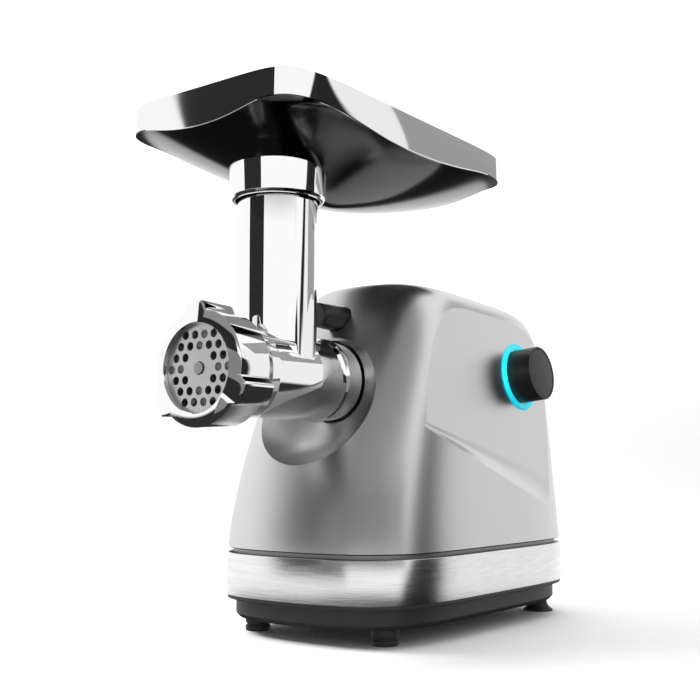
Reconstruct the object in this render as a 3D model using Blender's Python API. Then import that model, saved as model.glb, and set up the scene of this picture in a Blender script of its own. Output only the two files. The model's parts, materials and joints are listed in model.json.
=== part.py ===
"""Electric meat grinder: casing, gear drive, grinding head, tray and controls.

Lengths are in millimetres and angles in degrees, and MM turns them into metres when a mesh is made.
+Z is up, -Y is the outlet side and +X the knob side. The origin lies on the table, under the middle.
"""

import math

import bmesh
import bpy
from mathutils import Matrix, Vector

MM = 0.001  # metres
PLAN_SIDES = 32  # corners of the base's outline

# Clearances
GAP = 0.3  # between pieces that touch
RUN = 0.5  # round pieces that turn, on the radius

# Base, band and housing
BASE_WIDTH = 172.0
BASE_FRONT = -72.0
BASE_REAR = 212.0
PLAN_POWER = 5.0  # squareness of the outline seen from above
FRONT_BOW = 14.0  # how far the front's corners fall back behind its middle
FOOT_HEIGHT = 11.0
FOOT_INSET = 30.0
PAN_HEIGHT = 16.0
PAN_INSET = 6.0
PAN_LIP = 3.0
PAN_WALL = 2.5
GLAND_X = 12.0
SCREW_DEPTH = 5.0  # of the hollow that hides each base screw's head
SCREW_HEAD = 3.6
BAND_HEIGHT = 29.4
BAND_WALL = 1.2
REVEAL_HEIGHT = 3.0
REVEAL_DEPTH = 3.2
HOUSING_HEIGHT = 192.0
HOUSING_WALL = 2.5
SIDE_LEAN = 14.0  # how far each side leans in over the housing's height
FRONT_LEAN = 75.0
FRONT_CURVE = 1.5
REAR_LEAN = 14.0
TOP_POWER = 7.0  # squareness of the shoulders
TOP_SLOPE = 2.5
CREST_FRONT_Y = 35.0  # the roof is flattest between these two
CREST_REAR_Y = 120.0

# Flat facet on the knob side: x = FACET_X at FACET_Z, leaning in by FACET_LEAN per millimetre of height
FACET_X = 82.0
FACET_Z = 76.0
FACET_LEAN = 0.11
FACET_FALL = 0.333  # of the lower edge towards the rear
FACET_CORNER_Y = -34.0
FACET_CORNER_Z = 150.0
FACET_CORNER_RADIUS = 26.0

# Grinding head
BARREL_Z = 177.5
OUTLET_Y = -153.0
RING_WALL = 3.1
RING_LUG = 5.5
RING_LUGS = 3
RING_LENGTH = 29.0
RING_LIP = 3.3
LIP_COVER = 1.6  # how far the ring's lip reaches in over the plate
PLATE_RADIUS = 30.6
PLATE_THICKNESS = 4.5
PLATE_EAR = 2.6
PLATE_PITCH = 8.1
PLATE_HOLE = 5.5
RIM_WALL = 2.5
BORE_STEP = 5.3  # how much narrower the barrel's bore is than the plate's seat
BARREL_WALL = 3.4
NECK_STEP = 2.7  # how much wider the neck is outside than the barrel's bore
NECK_Y = -30.5
BAYONET = 2.7
NECK_CLEARANCE = 1.5  # the dark gap round the neck
TUBE_Y = -76.6
TUBE_RADIUS = 27.5
TUBE_WALL = 2.5
TUBE_TOP = 307.0
EAR_HALF = 3.9  # half the width of the plate's two ears
PIN_RADIUS = 3.7
KNIFE_SQUARE = 5.0
BUSH_WALL = 2.5
KNIFE_THICKNESS = 7.0
AUGER_TURNS = 3
AUGER_CORE = 10.0
DRIVE_FLAT = 6.0  # half the width across flats of the auger's hexagon

# Dish pressed into the housing's front round the neck
DISH_RADIUS = 62.0
DISH_BACK_Y = -13.0
DISH_DEPTH = 82.0
DISH_POWER = 3.0

# Tray
TRAY_WIDTH = 154.0
TRAY_FRONT = -153.0
TRAY_REAR = 117.0
TRAY_POWER = 8.0
TRAY_DEPTH = 52.0
TRAY_SINK = 2.0  # how far the tray's floor lies below the tube's mouth
TRAY_WALL = 1.6
BAND_OF_TRAY = 26.0
BAND_AT_CORNERS = 18.5
HULL_POWER = 0.7
COLLAR_OVERLAP = 10.0
COLLAR_PLAY = 1.5  # between collar and tube
COLLAR_WALL = 3.5

# Gear drive: module and teeth of each pair
OUTPUT_MODULE = 1.4
OUTPUT_TEETH = 48
COUNTER_PINION_TEETH = 10
INPUT_MODULE = 0.9
COUNTER_TEETH = 60
MOTOR_PINION_TEETH = 10
BACKLASH = 0.86
CASE_Y = 6.0
SOCKET_DEPTH = 11.5
CASE_WALL = 3.5
CASE_DEPTH = 30.0
OUTPUT_GEAR_WIDTH = 12.0
COUNTER_GEAR_WIDTH = 7.0
OUTPUT_SHAFT_RADIUS = 11.0
COUNTER_SHAFT_RADIUS = 4.0

# Motor
STATOR_HALF = 35.0
STATOR_LENGTH = 44.0
ROTOR_RADIUS = 21.6
MOTOR_SHAFT_RADIUS = 4.0
FAN_RADIUS = 31.0

# Knob, lamp ring and switch
KNOB_Y = 137.0
KNOB_Z = 188.0
KNOB_RADIUS = 21.0
KNOB_HEIGHT = 20.0
LAMP_PLAY = 1.3
LAMP_WIDTH = 4.2
SPINDLE_RADIUS = 3.0
SWITCH_DEPTH = 15.0

# Release button
BUTTON_PLAY = 1.3  # between the button and the socket below it
BUTTON_RADIUS = 9.2
BUTTON_FRONT = -34.0
BUTTON_TRAVEL = 5.0
BOLT_RADIUS = 3.6

# Colours: red, green, blue, roughness, metallic
FINISHES = {
    "housing_paint": (0.42, 0.42, 0.42, 0.35, 0.7),
    "black_plastic": (0.02, 0.02, 0.022, 0.5, 0.0),
    "black_rubber": (0.015, 0.015, 0.015, 0.8, 0.0),
    "polished_metal": (0.85, 0.85, 0.86, 0.06, 1.0),
    "plate_steel": (0.6, 0.6, 0.6, 0.3, 1.0),
    "gear_steel": (0.45, 0.45, 0.46, 0.35, 1.0),
    "gear_nylon": (0.85, 0.83, 0.76, 0.5, 0.0),
    "cast_aluminium": (0.55, 0.55, 0.56, 0.5, 1.0),
    "lamination": (0.25, 0.26, 0.28, 0.5, 1.0),
    "copper": (0.72, 0.33, 0.16, 0.35, 1.0),
    "bronze": (0.6, 0.42, 0.2, 0.4, 1.0),
    "board_green": (0.03, 0.2, 0.08, 0.5, 0.0),
    "lamp_cyan": (0.0, 0.75, 0.85, 0.3, 0.0),
    "cap_metal": (0.1, 0.1, 0.11, 0.3, 1.0),
}

# Heights and places that follow from the sizes above
PAN_TOP = FOOT_HEIGHT + PAN_HEIGHT
BAND_TOP = PAN_TOP + GAP + BAND_HEIGHT
HOUSING_BOTTOM = BAND_TOP + REVEAL_HEIGHT
BASE_HALF = BASE_WIDTH / 2
SKIRT_INSET = BAND_WALL + REVEAL_DEPTH
OUTPUT_DISTANCE = OUTPUT_MODULE * (OUTPUT_TEETH + COUNTER_PINION_TEETH) / 2
INPUT_DISTANCE = INPUT_MODULE * (COUNTER_TEETH + MOTOR_PINION_TEETH) / 2
COUNTER_Z = BARREL_Z - OUTPUT_DISTANCE
MOTOR_Z = COUNTER_Z - INPUT_DISTANCE
OUTPUT_GEAR_Y = CASE_Y + CASE_WALL + 2.5
COUNTER_GEAR_Y = OUTPUT_GEAR_Y + OUTPUT_GEAR_WIDTH + 2
COVER_Y = CASE_Y + CASE_DEPTH + GAP
COVER_END = COVER_Y + CASE_WALL
WINDING_LENGTH = 5.5
STATOR_Y = COVER_END + WINDING_LENGTH + 5
STATOR_END = STATOR_Y + STATOR_LENGTH
BRACKET_Y = STATOR_END + WINDING_LENGTH + 14
BRACKET_END = BRACKET_Y + CASE_WALL
FAN_Y = BRACKET_END + 3
FAN_END = FAN_Y + 9
CASE_TOP_RADIUS = OUTPUT_MODULE * (OUTPUT_TEETH / 2 + 1) + 2
CASE_LOW_RADIUS = INPUT_MODULE * COUNTER_TEETH / 2
CASE_LOW_Z = COUNTER_Z - 12
SEAT_RADIUS = PLATE_RADIUS + GAP
RIM_RADIUS = SEAT_RADIUS + RIM_WALL
RING_RADIUS = RIM_RADIUS + RUN + RING_WALL
OUTLET_RADIUS = PLATE_RADIUS - LIP_COVER
BARREL_BORE = SEAT_RADIUS - BORE_STEP
NECK_RADIUS = BARREL_BORE + NECK_STEP
COLLAR_INNER = TUBE_RADIUS + COLLAR_PLAY
COLLAR_RADIUS = COLLAR_INNER + COLLAR_WALL
LAMP_INNER = KNOB_RADIUS + LAMP_PLAY
LAMP_OUTER = LAMP_INNER + LAMP_WIDTH
PLATE_Y = OUTLET_Y + RING_LIP + GAP
PLATE_END = PLATE_Y + PLATE_THICKNESS
KNIFE_Y = PLATE_END + GAP
KNIFE_END = KNIFE_Y + KNIFE_THICKNESS
AUGER_Y = KNIFE_END + GAP
AUGER_END = NECK_Y - 1.5
BUSH_END = CASE_Y - 7.6
NECK_END = CASE_Y - 3.7
LUG_Y = CASE_Y - 8.5
LUG_WIDTH = 3.5
SOCKET_RADIUS = NECK_RADIUS + BAYONET + RUN + 4.5
BUTTON_Z = BARREL_Z + SOCKET_RADIUS + BUTTON_PLAY + BUTTON_RADIUS
BUSH_RADIUS = OUTPUT_SHAFT_RADIUS + RUN + BUSH_WALL
AUGER_BUSH_RADIUS = AUGER_CORE + RUN + BUSH_WALL
TRAY_BOTTOM = TUBE_TOP - TRAY_SINK
TRAY_TOP = TRAY_BOTTOM + TRAY_DEPTH
SPIGOT_RADIUS = TUBE_RADIUS - TUBE_WALL - 1.2
SWITCH_FRONT = -HOUSING_WALL - GAP - 0.4
GUIDE_Y = CASE_Y + 18
GLAND_Z = (FOOT_HEIGHT + PAN_TOP) / 2
DOWN, UP = math.pi / 2, -math.pi / 2  # angles in the plane of a shape turned by along_y


def facet_x(z):
    return FACET_X - FACET_LEAN * (z - FACET_Z)


FACET_TILT = math.atan(FACET_LEAN)
KNOB_PLACE = Matrix.Translation((facet_x(KNOB_Z), KNOB_Y, KNOB_Z)) @ Matrix.Rotation(
    math.pi / 2 - FACET_TILT, 4, "Y"
)
KNOB_REACH = facet_x(KNOB_Z) + KNOB_HEIGHT * math.cos(FACET_TILT) + KNOB_RADIUS * math.sin(FACET_TILT)
MIDDLE_X = (max(KNOB_REACH, BASE_HALF) - BASE_HALF) / 2
MIDDLE_Y = (min(OUTLET_Y, TRAY_FRONT) + BASE_REAR) / 2
BODIES = {
    "base": (0, 0, 0),
    "drive": (0, 0, BARREL_Z),
    "countershaft": (0, 0, COUNTER_Z),
    "motor": (0, 0, MOTOR_Z),
    "head": (0, 0, BARREL_Z),
    "ring": (0, OUTLET_Y, BARREL_Z),
    "tray": (0, TUBE_Y, TUBE_TOP),
    "knob": (facet_x(KNOB_Z), KNOB_Y, KNOB_Z),
    "release": (0, BUTTON_FRONT, BUTTON_Z),
}


# ---------------------------------------------------------------- meshes


def clear_scene():
    for thing in list(bpy.data.objects):
        bpy.data.objects.remove(thing, do_unlink=True)


def make_finishes():
    for name, (red, green, blue, roughness, metallic) in FINISHES.items():
        material = bpy.data.materials.new(name)
        material.use_nodes = True
        shader = material.node_tree.nodes["Principled BSDF"]
        shader.inputs["Base Color"].default_value = (red, green, blue, 1)
        shader.inputs["Roughness"].default_value = roughness
        shader.inputs["Metallic"].default_value = metallic


def make_pivots():
    """One empty on each body's joint, all on a frame that puts the whole box's middle at the origin."""
    frame = bpy.data.objects.new("frame", None)
    frame.location = Vector((-MIDDLE_X, -MIDDLE_Y, 0)) * MM
    bpy.context.collection.objects.link(frame)
    for name, place in BODIES.items():
        pivot = bpy.data.objects.new("pivot_" + name, None)
        pivot.location = Vector(place) * MM
        pivot.parent = frame
        bpy.context.collection.objects.link(pivot)


def add(name, shape, finish=None, body=None):
    """An object from (points, faces). With no body it is a cutter, which isn't part of the model."""
    points, faces = shape
    origin = Vector(BODIES[body] if body else (0, 0, 0))
    mesh = bpy.data.meshes.new(name)
    mesh.from_pydata([(Vector(point) - origin) * MM for point in points], [], faces)
    sides = bmesh.new()
    sides.from_mesh(mesh)
    bmesh.ops.recalc_face_normals(sides, faces=sides.faces)
    sides.to_mesh(mesh)
    sides.free()
    mesh.shade_smooth()
    mesh.set_sharp_from_angle(angle=math.radians(30))
    thing = bpy.data.objects.new(name, mesh)
    bpy.context.collection.objects.link(thing)
    if body:
        thing.parent = bpy.data.objects["pivot_" + body]
        mesh.materials.append(bpy.data.materials[finish])
    else:
        thing.parent = bpy.data.objects["frame"]
        thing.hide_render = True
        thing.display_type = "WIRE"
    return thing


def combine(thing, shape, operation="DIFFERENCE"):
    """Cuts a shape out of an object, or joins it on."""
    cutter = add(f"cutter_{thing.name}_{len(thing.modifiers)}", shape)
    return combine_object(thing, cutter, operation)


def combine_object(thing, cutter, operation="DIFFERENCE"):
    step = thing.modifiers.new(cutter.name, "BOOLEAN")
    step.object = cutter
    step.operation = operation
    step.solver = "EXACT"
    return thing


def loft(rings, closed=False):
    """Quads between rings of equal count. It caps the two ends, or joins the last ring to the first."""
    count = len(rings[0])
    points = [point for ring in rings for point in ring]
    faces = []
    for low in range(len(rings) if closed else len(rings) - 1):
        high = (low + 1) % len(rings)
        for i in range(count):
            j = (i + 1) % count
            faces.append((low * count + i, low * count + j, high * count + j, high * count + i))
    if not closed:
        last = (len(rings) - 1) * count
        faces.append(tuple(reversed(range(count))))
        faces.append(tuple(range(last, last + count)))
    return points, faces


def several(shapes):
    """Separate shapes as one cutter."""
    points, faces = [], []
    for more_points, more_faces in shapes:
        start = len(points)
        points += more_points
        faces += [tuple(start + i for i in face) for face in more_faces]
    return points, faces


def placed(shape, place):
    points, faces = shape
    return [tuple(place @ Vector(point)) for point in points], faces


def along_y(shape, x=0.0, z=0.0):
    """Turns a shape made along +Z so that it runs along +Y through (x, z)."""
    return placed(shape, Matrix.Translation((x, 0, z)) @ Matrix.Rotation(-math.pi / 2, 4, "X"))


def circle(radius, count=24, turn=0.0):
    steps = [turn + 2 * math.pi * i / count for i in range(count)]
    return [(radius * math.cos(a), radius * math.sin(a)) for a in steps]


def level(outline, z):
    return [(x, y, z) for x, y in outline]


def prism(outline, low, high):
    return loft([level(outline, low), level(outline, high)])


def turned(profile, count=24, closed=False):
    """A profile of (radius, height) turned about Z, with flat ends or, if closed, as a ring."""
    return loft([level(circle(radius, count), z) for radius, z in profile], closed)


def drum(radius, start, end, count, x, z):
    """A cylinder along Y through (x, z)."""
    return along_y(turned([(radius, start), (radius, end)], count), x, z)


def post(radius, low, high, count, x, y):
    """A cylinder along Z through (x, y)."""
    return placed(turned([(radius, low), (radius, high)], count), Matrix.Translation((x, y, 0)))


def box(low, high):
    (x0, y0, z0), (x1, y1, z1) = low, high
    outline = [(x0, y0), (x1, y0), (x1, y1), (x0, y1)]
    return prism(outline, z0, z1)


def squircle(half_x, front, rear, power, count=40, bow=0.0):
    """A rounded rectangle, anticlockwise from above. Its front corners fall back by bow."""
    middle, half_y = (front + rear) / 2, (rear - front) / 2
    outline = []
    for i in range(count):
        a = 2 * math.pi * (i + 0.5) / count
        x, y = (math.copysign(abs(v) ** (2 / power), v) for v in (math.cos(a), math.sin(a)))
        outline.append((half_x * x, middle + half_y * y + bow * x * x * max(-y, 0)))
    return outline


def plan(inset, count=PLAN_SIDES):
    """The base's outline from above, drawn in by inset."""
    return squircle(BASE_HALF - inset, BASE_FRONT + inset, BASE_REAR - inset, PLAN_POWER, count, FRONT_BOW)


def hull_of_circles(top_z, top_radius, low_z, low_radius, count=16):
    """The outline, as (x, z), of a belt round two circles on the centre plane."""
    spread = math.asin((top_radius - low_radius) / (top_z - low_z))
    outline = []
    for i in range(count + 1):
        a = -spread + (math.pi + 2 * spread) * i / count
        outline.append((top_radius * math.cos(a), top_z + top_radius * math.sin(a)))
    for i in range(count + 1):
        a = math.pi + spread + (math.pi - 2 * spread) * i / count
        outline.append((low_radius * math.cos(a), low_z + low_radius * math.sin(a)))
    return outline


def across_y(outline, front, rear):
    """An (x, z) outline pulled along Y."""
    return loft([[(x, y, z) for x, z in outline] for y in (front, rear)])


# ---------------------------------------------------------------- casing


def housing_ring(part, inset, shrink=1.0, count=40):
    """One ring round the housing at a height part of 0 to 1. The shoulders close in as it nears 1."""
    half = BASE_HALF - 0.8 - SIDE_LEAN * part
    front = BASE_FRONT + 0.8 + FRONT_LEAN * part**FRONT_CURVE
    rear = BASE_REAR - 0.8 - REAR_LEAN * part
    close = shrink * max(1 - part**TOP_POWER, 0.006) ** (1 / TOP_POWER)
    half = half * close - inset
    front = CREST_FRONT_Y + (front - CREST_FRONT_Y) * close + inset
    rear = CREST_REAR_Y + (rear - CREST_REAR_Y) * close - inset
    slope = math.tan(math.radians(TOP_SLOPE))
    ring = []
    for x, y in squircle(half, front, rear, PLAN_POWER, count, FRONT_BOW * close):
        z = HOUSING_BOTTOM + part * (HOUSING_HEIGHT - inset) - slope * (y - CREST_FRONT_Y) * part**2
        ring.append((x, y, z))
    return ring


def housing_body(inset, bottom, skirt, parts, count):
    rings = [level(plan(skirt, count), bottom), level(plan(skirt, count), HOUSING_BOTTOM)]
    rings += [housing_ring(part, inset, 1.0, count) for part in parts]
    rings.append(housing_ring(1.0, inset, 0.6, count))
    return loft(rings)


def facet_cutter(inset):
    """Everything outside the facet's plane and above its slanting lower edge."""
    rear_y = BASE_REAR + 20
    rear_z = FACET_CORNER_Z - FACET_FALL * (rear_y - FACET_CORNER_Y)
    rise = math.atan2(FACET_CORNER_Z - rear_z, rear_y - FACET_CORNER_Y)
    radius = FACET_CORNER_RADIUS
    turn = math.pi / 2 - rise
    reach = radius * math.tan(turn / 2)
    low, high = FACET_CORNER_Z + inset, HOUSING_BOTTOM + HOUSING_HEIGHT + 40
    corner_y = FACET_CORNER_Y + inset
    centre = (corner_y + radius, low + reach)
    outline = [(corner_y, high)]
    for i in range(7):
        a = math.pi + turn * i / 6
        outline.append((centre[0] + radius * math.cos(a), centre[1] + radius * math.sin(a)))
    outline += [(rear_y, rear_z + inset), (rear_y, high)]
    inner = [(facet_x(z) - inset, y, z) for y, z in outline]
    outer = [(BASE_HALF + 40, y, z) for y, z in outline]
    return loft([inner, outer])


def dish_cutter(inset, count=28):
    """The dish's hollow, turned about the barrel's axis. At no inset it ends in the hole for the neck."""
    radius, back = DISH_RADIUS + inset, DISH_BACK_Y + inset
    start = back - DISH_DEPTH - inset
    hole = NECK_RADIUS + NECK_CLEARANCE

    def deep(out):
        return start + (back - start) * (1 - (out / radius) ** DISH_POWER) ** (1 / DISH_POWER)

    outs = [radius * math.cos(math.pi / 2 * i / 9) ** (2 / DISH_POWER) for i in range(9)]
    profile = [(radius, start - 40)] + [(out, deep(out)) for out in outs if out > hole + 2]
    profile += [(hole, deep(hole)), (hole, CASE_Y)] if inset == 0 else [(hole / 2, deep(hole / 2))]
    return along_y(turned(profile, count), 0, BARREL_Z)


def post_places():
    """Middles of the four screw posts, just inside the corners of the skirt."""
    inset = SKIRT_INSET + HOUSING_WALL + 5.5
    corners = plan(inset, 40)
    return [corners[i] for i in (2, 17, 22, 37)]


def make_housing():
    parts = (0.0, 0.06, 0.2, 0.36, 0.52, 0.66, 0.78, 0.87, 0.93, 0.965, 0.99)
    outside = housing_body(0, PAN_TOP + 1, SKIRT_INSET, parts, PLAN_SIDES)
    shell = add("housing_shell", outside, "housing_paint", "base")
    inner_parts = (0.02, 0.25, 0.5, 0.7, 0.84, 0.93, 0.98)
    low = housing_body(HOUSING_WALL, PAN_TOP - 9, SKIRT_INSET + HOUSING_WALL, inner_parts, 24)
    cavity = add("cutter_cavity", low)
    combine(cavity, facet_cutter(HOUSING_WALL))
    combine(cavity, dish_cutter(HOUSING_WALL, 20))
    combine_object(shell, cavity)
    combine(shell, facet_cutter(0))
    combine(shell, dish_cutter(0))
    for x, y in post_places():
        combine(shell, post(7, PAN_TOP + 1, HOUSING_BOTTOM + 8, 12, x, y), "UNION")
    combine(shell, several([post(1.9, FOOT_HEIGHT, FOOT_HEIGHT + 24, 8, x, y) for x, y in post_places()]))
    combine(shell, drum(BUTTON_RADIUS + 0.6, BUTTON_FRONT - 10, CASE_Y + 3, 20, 0, BUTTON_Z))
    lamp_seat = turned([(LAMP_OUTER + GAP, -1.2), (LAMP_OUTER + GAP, 20)], 28)
    combine(shell, placed(lamp_seat, KNOB_PLACE))
    combine(shell, placed(turned([(SPINDLE_RADIUS + 2, -8), (SPINDLE_RADIUS + 2, 5)], 12), KNOB_PLACE))


def make_band():
    ring = [level(plan(0), PAN_TOP + GAP), level(plan(0), BAND_TOP)]
    ring += [level(plan(BAND_WALL), BAND_TOP), level(plan(BAND_WALL), PAN_TOP + GAP)]
    add("trim_band", loft(ring, True), "plate_steel", "base")


def make_pan():
    lip, wall = PAN_TOP - PAN_LIP, PAN_INSET + PAN_WALL
    floor = FOOT_HEIGHT + PAN_WALL
    lip_inset = SKIRT_INSET - GAP - 0.6
    levels = [(PAN_INSET + 2, FOOT_HEIGHT), (PAN_INSET, FOOT_HEIGHT + 2), (PAN_INSET, lip), (0.8, lip)]
    levels += [(0.8, PAN_TOP), (lip_inset, PAN_TOP), (wall, lip + 0.5), (wall, floor)]
    pan = add("base_pan", loft([level(plan(inset), z) for inset, z in levels]), "black_plastic", "base")
    for x, y in post_places():
        combine(pan, post(SCREW_HEAD + 2.4, floor - 1, PAN_TOP + 0.7, 12, x, y), "UNION")
    low, seat = FOOT_HEIGHT - 1, FOOT_HEIGHT + SCREW_DEPTH
    combine(pan, several([post(2.2, low, PAN_TOP + 1, 8, x, y) for x, y in post_places()]))
    combine(pan, several([post(SCREW_HEAD + GAP, low, seat, 12, x, y) for x, y in post_places()]))
    slots = [box((-30, 60 + 12 * i, FOOT_HEIGHT - 1), (30, 64 + 12 * i, floor + 1)) for i in range(4)]
    combine(pan, several(slots))
    combine(pan, drum(4 + GAP, BASE_REAR - wall - 6, BASE_REAR, 16, GLAND_X, GLAND_Z))


def make_gland():
    wall_out = BASE_REAR - PAN_INSET
    wall_in = wall_out - PAN_WALL
    profile = [(2.2, wall_in - 5), (5, wall_in - 5), (5, wall_in - 0.6), (4, wall_in - 0.6)]
    profile += [(4, wall_out + 0.6), (4.8, wall_out + 0.6), (4.4, BASE_REAR - 0.6), (2.2, BASE_REAR - 0.6)]
    add("cord_gland", along_y(turned(profile, 16, True), GLAND_X, GLAND_Z), "black_rubber", "base")


def make_feet():
    for side, x in (("left", -1), ("right", 1)):
        front = [(9, 0.0), (9, 3.6), (8, 4.2), (8, 5.2), (9, 5.8), (9, FOOT_HEIGHT - GAP)]
        rear = [(12, 0.0), (12, 1.6), (8, 5.0), (7, 7.0), (7, FOOT_HEIGHT - GAP)]
        for end, profile, y in (("front", front, BASE_FRONT + 42), ("rear", rear, BASE_REAR - 24)):
            place = Matrix.Translation((x * (BASE_HALF - FOOT_INSET), y, 0))
            add(f"{end}_foot_{side}", placed(turned(profile, 20), place), "black_rubber", "base")


def make_base_screws():
    seat = FOOT_HEIGHT + SCREW_DEPTH - GAP
    profile = [(SCREW_HEAD - 1.2, seat - 2.5), (SCREW_HEAD, seat - 1.8), (SCREW_HEAD, seat)]
    profile += [(1.5, seat), (1.5, FOOT_HEIGHT + 22)]
    for i, (x, y) in enumerate(post_places()):
        screw = placed(turned(profile, 10), Matrix.Translation((x, y, 0)))
        add(f"base_screw_{i + 1}", screw, "gear_steel", "base")


# ---------------------------------------------------------------- gear drive


def gear_outline(module, teeth, phase):
    """Involute-sided teeth with straight flanks, one tooth centred on the angle phase."""
    pitch = module * teeth / 2
    pressure = math.radians(20)
    base = pitch * math.cos(pressure)

    def half_angle(radius):
        lean = math.acos(min(base / radius, 1.0))
        involute = math.tan(pressure) - pressure - math.tan(lean) + lean
        return BACKLASH * math.pi / (2 * teeth) + involute

    outline = []
    root, tip = pitch - 1.2 * module, pitch + 0.85 * module
    for i in range(teeth):
        middle = phase + 2 * math.pi * i / teeth
        low, high = half_angle(max(root, base)), half_angle(tip)
        for radius, a in ((root, -low), (tip, -high), (tip, high), (root, low)):
            outline.append((radius * math.cos(middle + a), radius * math.sin(middle + a)))
    return outline


def gap_phase(teeth, towards):
    """The phase that puts a gap between two teeth on the angle towards."""
    return towards + math.pi / teeth


def make_output():
    """The output shaft and its gear, which carry the auger."""
    front = CASE_Y - 7
    end = COVER_Y - GAP
    profile = [(OUTPUT_SHAFT_RADIUS, front), (OUTPUT_SHAFT_RADIUS, OUTPUT_GEAR_Y - 1.5)]
    profile += [(8, OUTPUT_GEAR_Y - 1.5), (8, COUNTER_GEAR_Y), (6, COUNTER_GEAR_Y), (6, end)]
    shaft = add("output_shaft", along_y(turned(profile, 24), 0, BARREL_Z), "gear_steel", "drive")
    socket = hexagon(DRIVE_FLAT + GAP)
    combine(shaft, along_y(prism(socket, front - 1, CASE_Y + 5), 0, BARREL_Z))
    teeth = gear_outline(OUTPUT_MODULE, OUTPUT_TEETH, gap_phase(OUTPUT_TEETH, DOWN))
    gear_end = OUTPUT_GEAR_Y + OUTPUT_GEAR_WIDTH
    wheel = along_y(prism(teeth, OUTPUT_GEAR_Y, gear_end), 0, BARREL_Z)
    gear = add("output_gear", wheel, "gear_nylon", "drive")
    combine(gear, drum(8 + GAP, OUTPUT_GEAR_Y - 1, gear_end + 1, 24, 0, BARREL_Z))


def hexagon(half):
    return circle(half / math.cos(math.pi / 6), 6, math.pi / 12)


def make_countershaft():
    start = CASE_Y + CASE_WALL + GAP
    end = COVER_Y - GAP
    rod = drum(COUNTER_SHAFT_RADIUS, start, end, 16, 0, COUNTER_Z)
    shaft = add("counter_shaft", rod, "gear_steel", "countershaft")
    pinion = gear_outline(OUTPUT_MODULE, COUNTER_PINION_TEETH, UP)
    wide = prism(pinion, OUTPUT_GEAR_Y - 0.5, OUTPUT_GEAR_Y + OUTPUT_GEAR_WIDTH + 0.5)
    combine(shaft, along_y(wide, 0, COUNTER_Z), "UNION")
    teeth = gear_outline(INPUT_MODULE, COUNTER_TEETH, gap_phase(COUNTER_TEETH, DOWN))
    wheel = along_y(prism(teeth, COUNTER_GEAR_Y, COUNTER_GEAR_Y + COUNTER_GEAR_WIDTH), 0, COUNTER_Z)
    gear = add("counter_gear", wheel, "gear_nylon", "countershaft")
    combine(gear, drum(COUNTER_SHAFT_RADIUS + GAP, COUNTER_GEAR_Y - 1, COVER_Y, 16, 0, COUNTER_Z))


def make_gearbox():
    outer = hull_of_circles(BARREL_Z, CASE_TOP_RADIUS + CASE_WALL, CASE_LOW_Z, CASE_LOW_RADIUS + CASE_WALL)
    inner = hull_of_circles(BARREL_Z, CASE_TOP_RADIUS, CASE_LOW_Z, CASE_LOW_RADIUS)
    case = add("gearbox_case", across_y(outer, CASE_Y, CASE_Y + CASE_DEPTH), "cast_aluminium", "base")
    neck = NECK_RADIUS + RUN
    groove = neck + BAYONET
    lip_end, groove_end = LUG_Y - RUN, CASE_Y - 2
    front = CASE_Y - SOCKET_DEPTH
    profile = [(neck, front), (SOCKET_RADIUS, front), (SOCKET_RADIUS, CASE_Y + 1), (16, CASE_Y + 1)]
    profile += [(16, groove_end), (groove, groove_end), (groove, lip_end), (neck, lip_end)]
    combine(case, along_y(turned(profile, 36, True), 0, BARREL_Z), "UNION")
    slots = [sector(groove, neck - 2, 26, 90 + 45 + 120 * i) for i in range(3)]
    combine(case, along_y(several([prism(slot, front - 1, lip_end + 1) for slot in slots]), 0, BARREL_Z))
    combine(case, across_y(inner, CASE_Y + CASE_WALL, CASE_Y + CASE_DEPTH + 1))
    combine(case, drum(BUSH_RADIUS + GAP, CASE_Y - 3, CASE_Y + CASE_WALL + 1, 24, 0, BARREL_Z))
    cover = add("gearbox_cover", across_y(outer, COVER_Y, COVER_END), "cast_aluminium", "base")
    holes = [drum(MOTOR_SHAFT_RADIUS + RUN, COVER_Y - 1, COVER_END + 1, 16, 0, MOTOR_Z)]
    holes += [drum(1.3, COVER_Y - 1, COVER_END + 1, 8, x, z) for x, z in screw_places()]
    combine(cover, several(holes))
    combine(case, several([drum(1.3, COVER_Y - 14, COVER_Y + 1, 8, x, z) for x, z in screw_places()]))
    for i, (x, z) in enumerate(screw_places()):
        screw = [(1, COVER_Y - 12), (1, COVER_END + GAP), (2.6, COVER_END + GAP), (2.6, COVER_END + 2)]
        add(f"cover_screw_{i + 1}", along_y(turned(screw, 10), x, z), "gear_steel", "base")
    bore, front, end = OUTPUT_SHAFT_RADIUS + RUN, CASE_Y - 1.5, CASE_Y + CASE_WALL + 0.5
    sleeve = [(bore, front), (BUSH_RADIUS, front), (BUSH_RADIUS, end), (bore, end)]
    add("output_bush", along_y(turned(sleeve, 24, True), 0, BARREL_Z), "bronze", "base")


def sector(outer, inner, width, middle):
    """A piece of a ring, width degrees wide."""
    steps = [math.radians(middle + width * (i / 4 - 0.5)) for i in range(5)]
    outline = [(outer * math.cos(a), outer * math.sin(a)) for a in steps]
    return outline + [(inner * math.cos(a), inner * math.sin(a)) for a in reversed(steps)]


def screw_places():
    middle = CASE_WALL / 2
    top, low = CASE_TOP_RADIUS + middle, CASE_LOW_RADIUS + middle
    places = [(side * top * math.cos(0.7), BARREL_Z + top * math.sin(0.7)) for side in (-1, 1)]
    return places + [(side * low * math.cos(0.7), CASE_LOW_Z - low * math.sin(0.7)) for side in (-1, 1)]


# ---------------------------------------------------------------- motor


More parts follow.
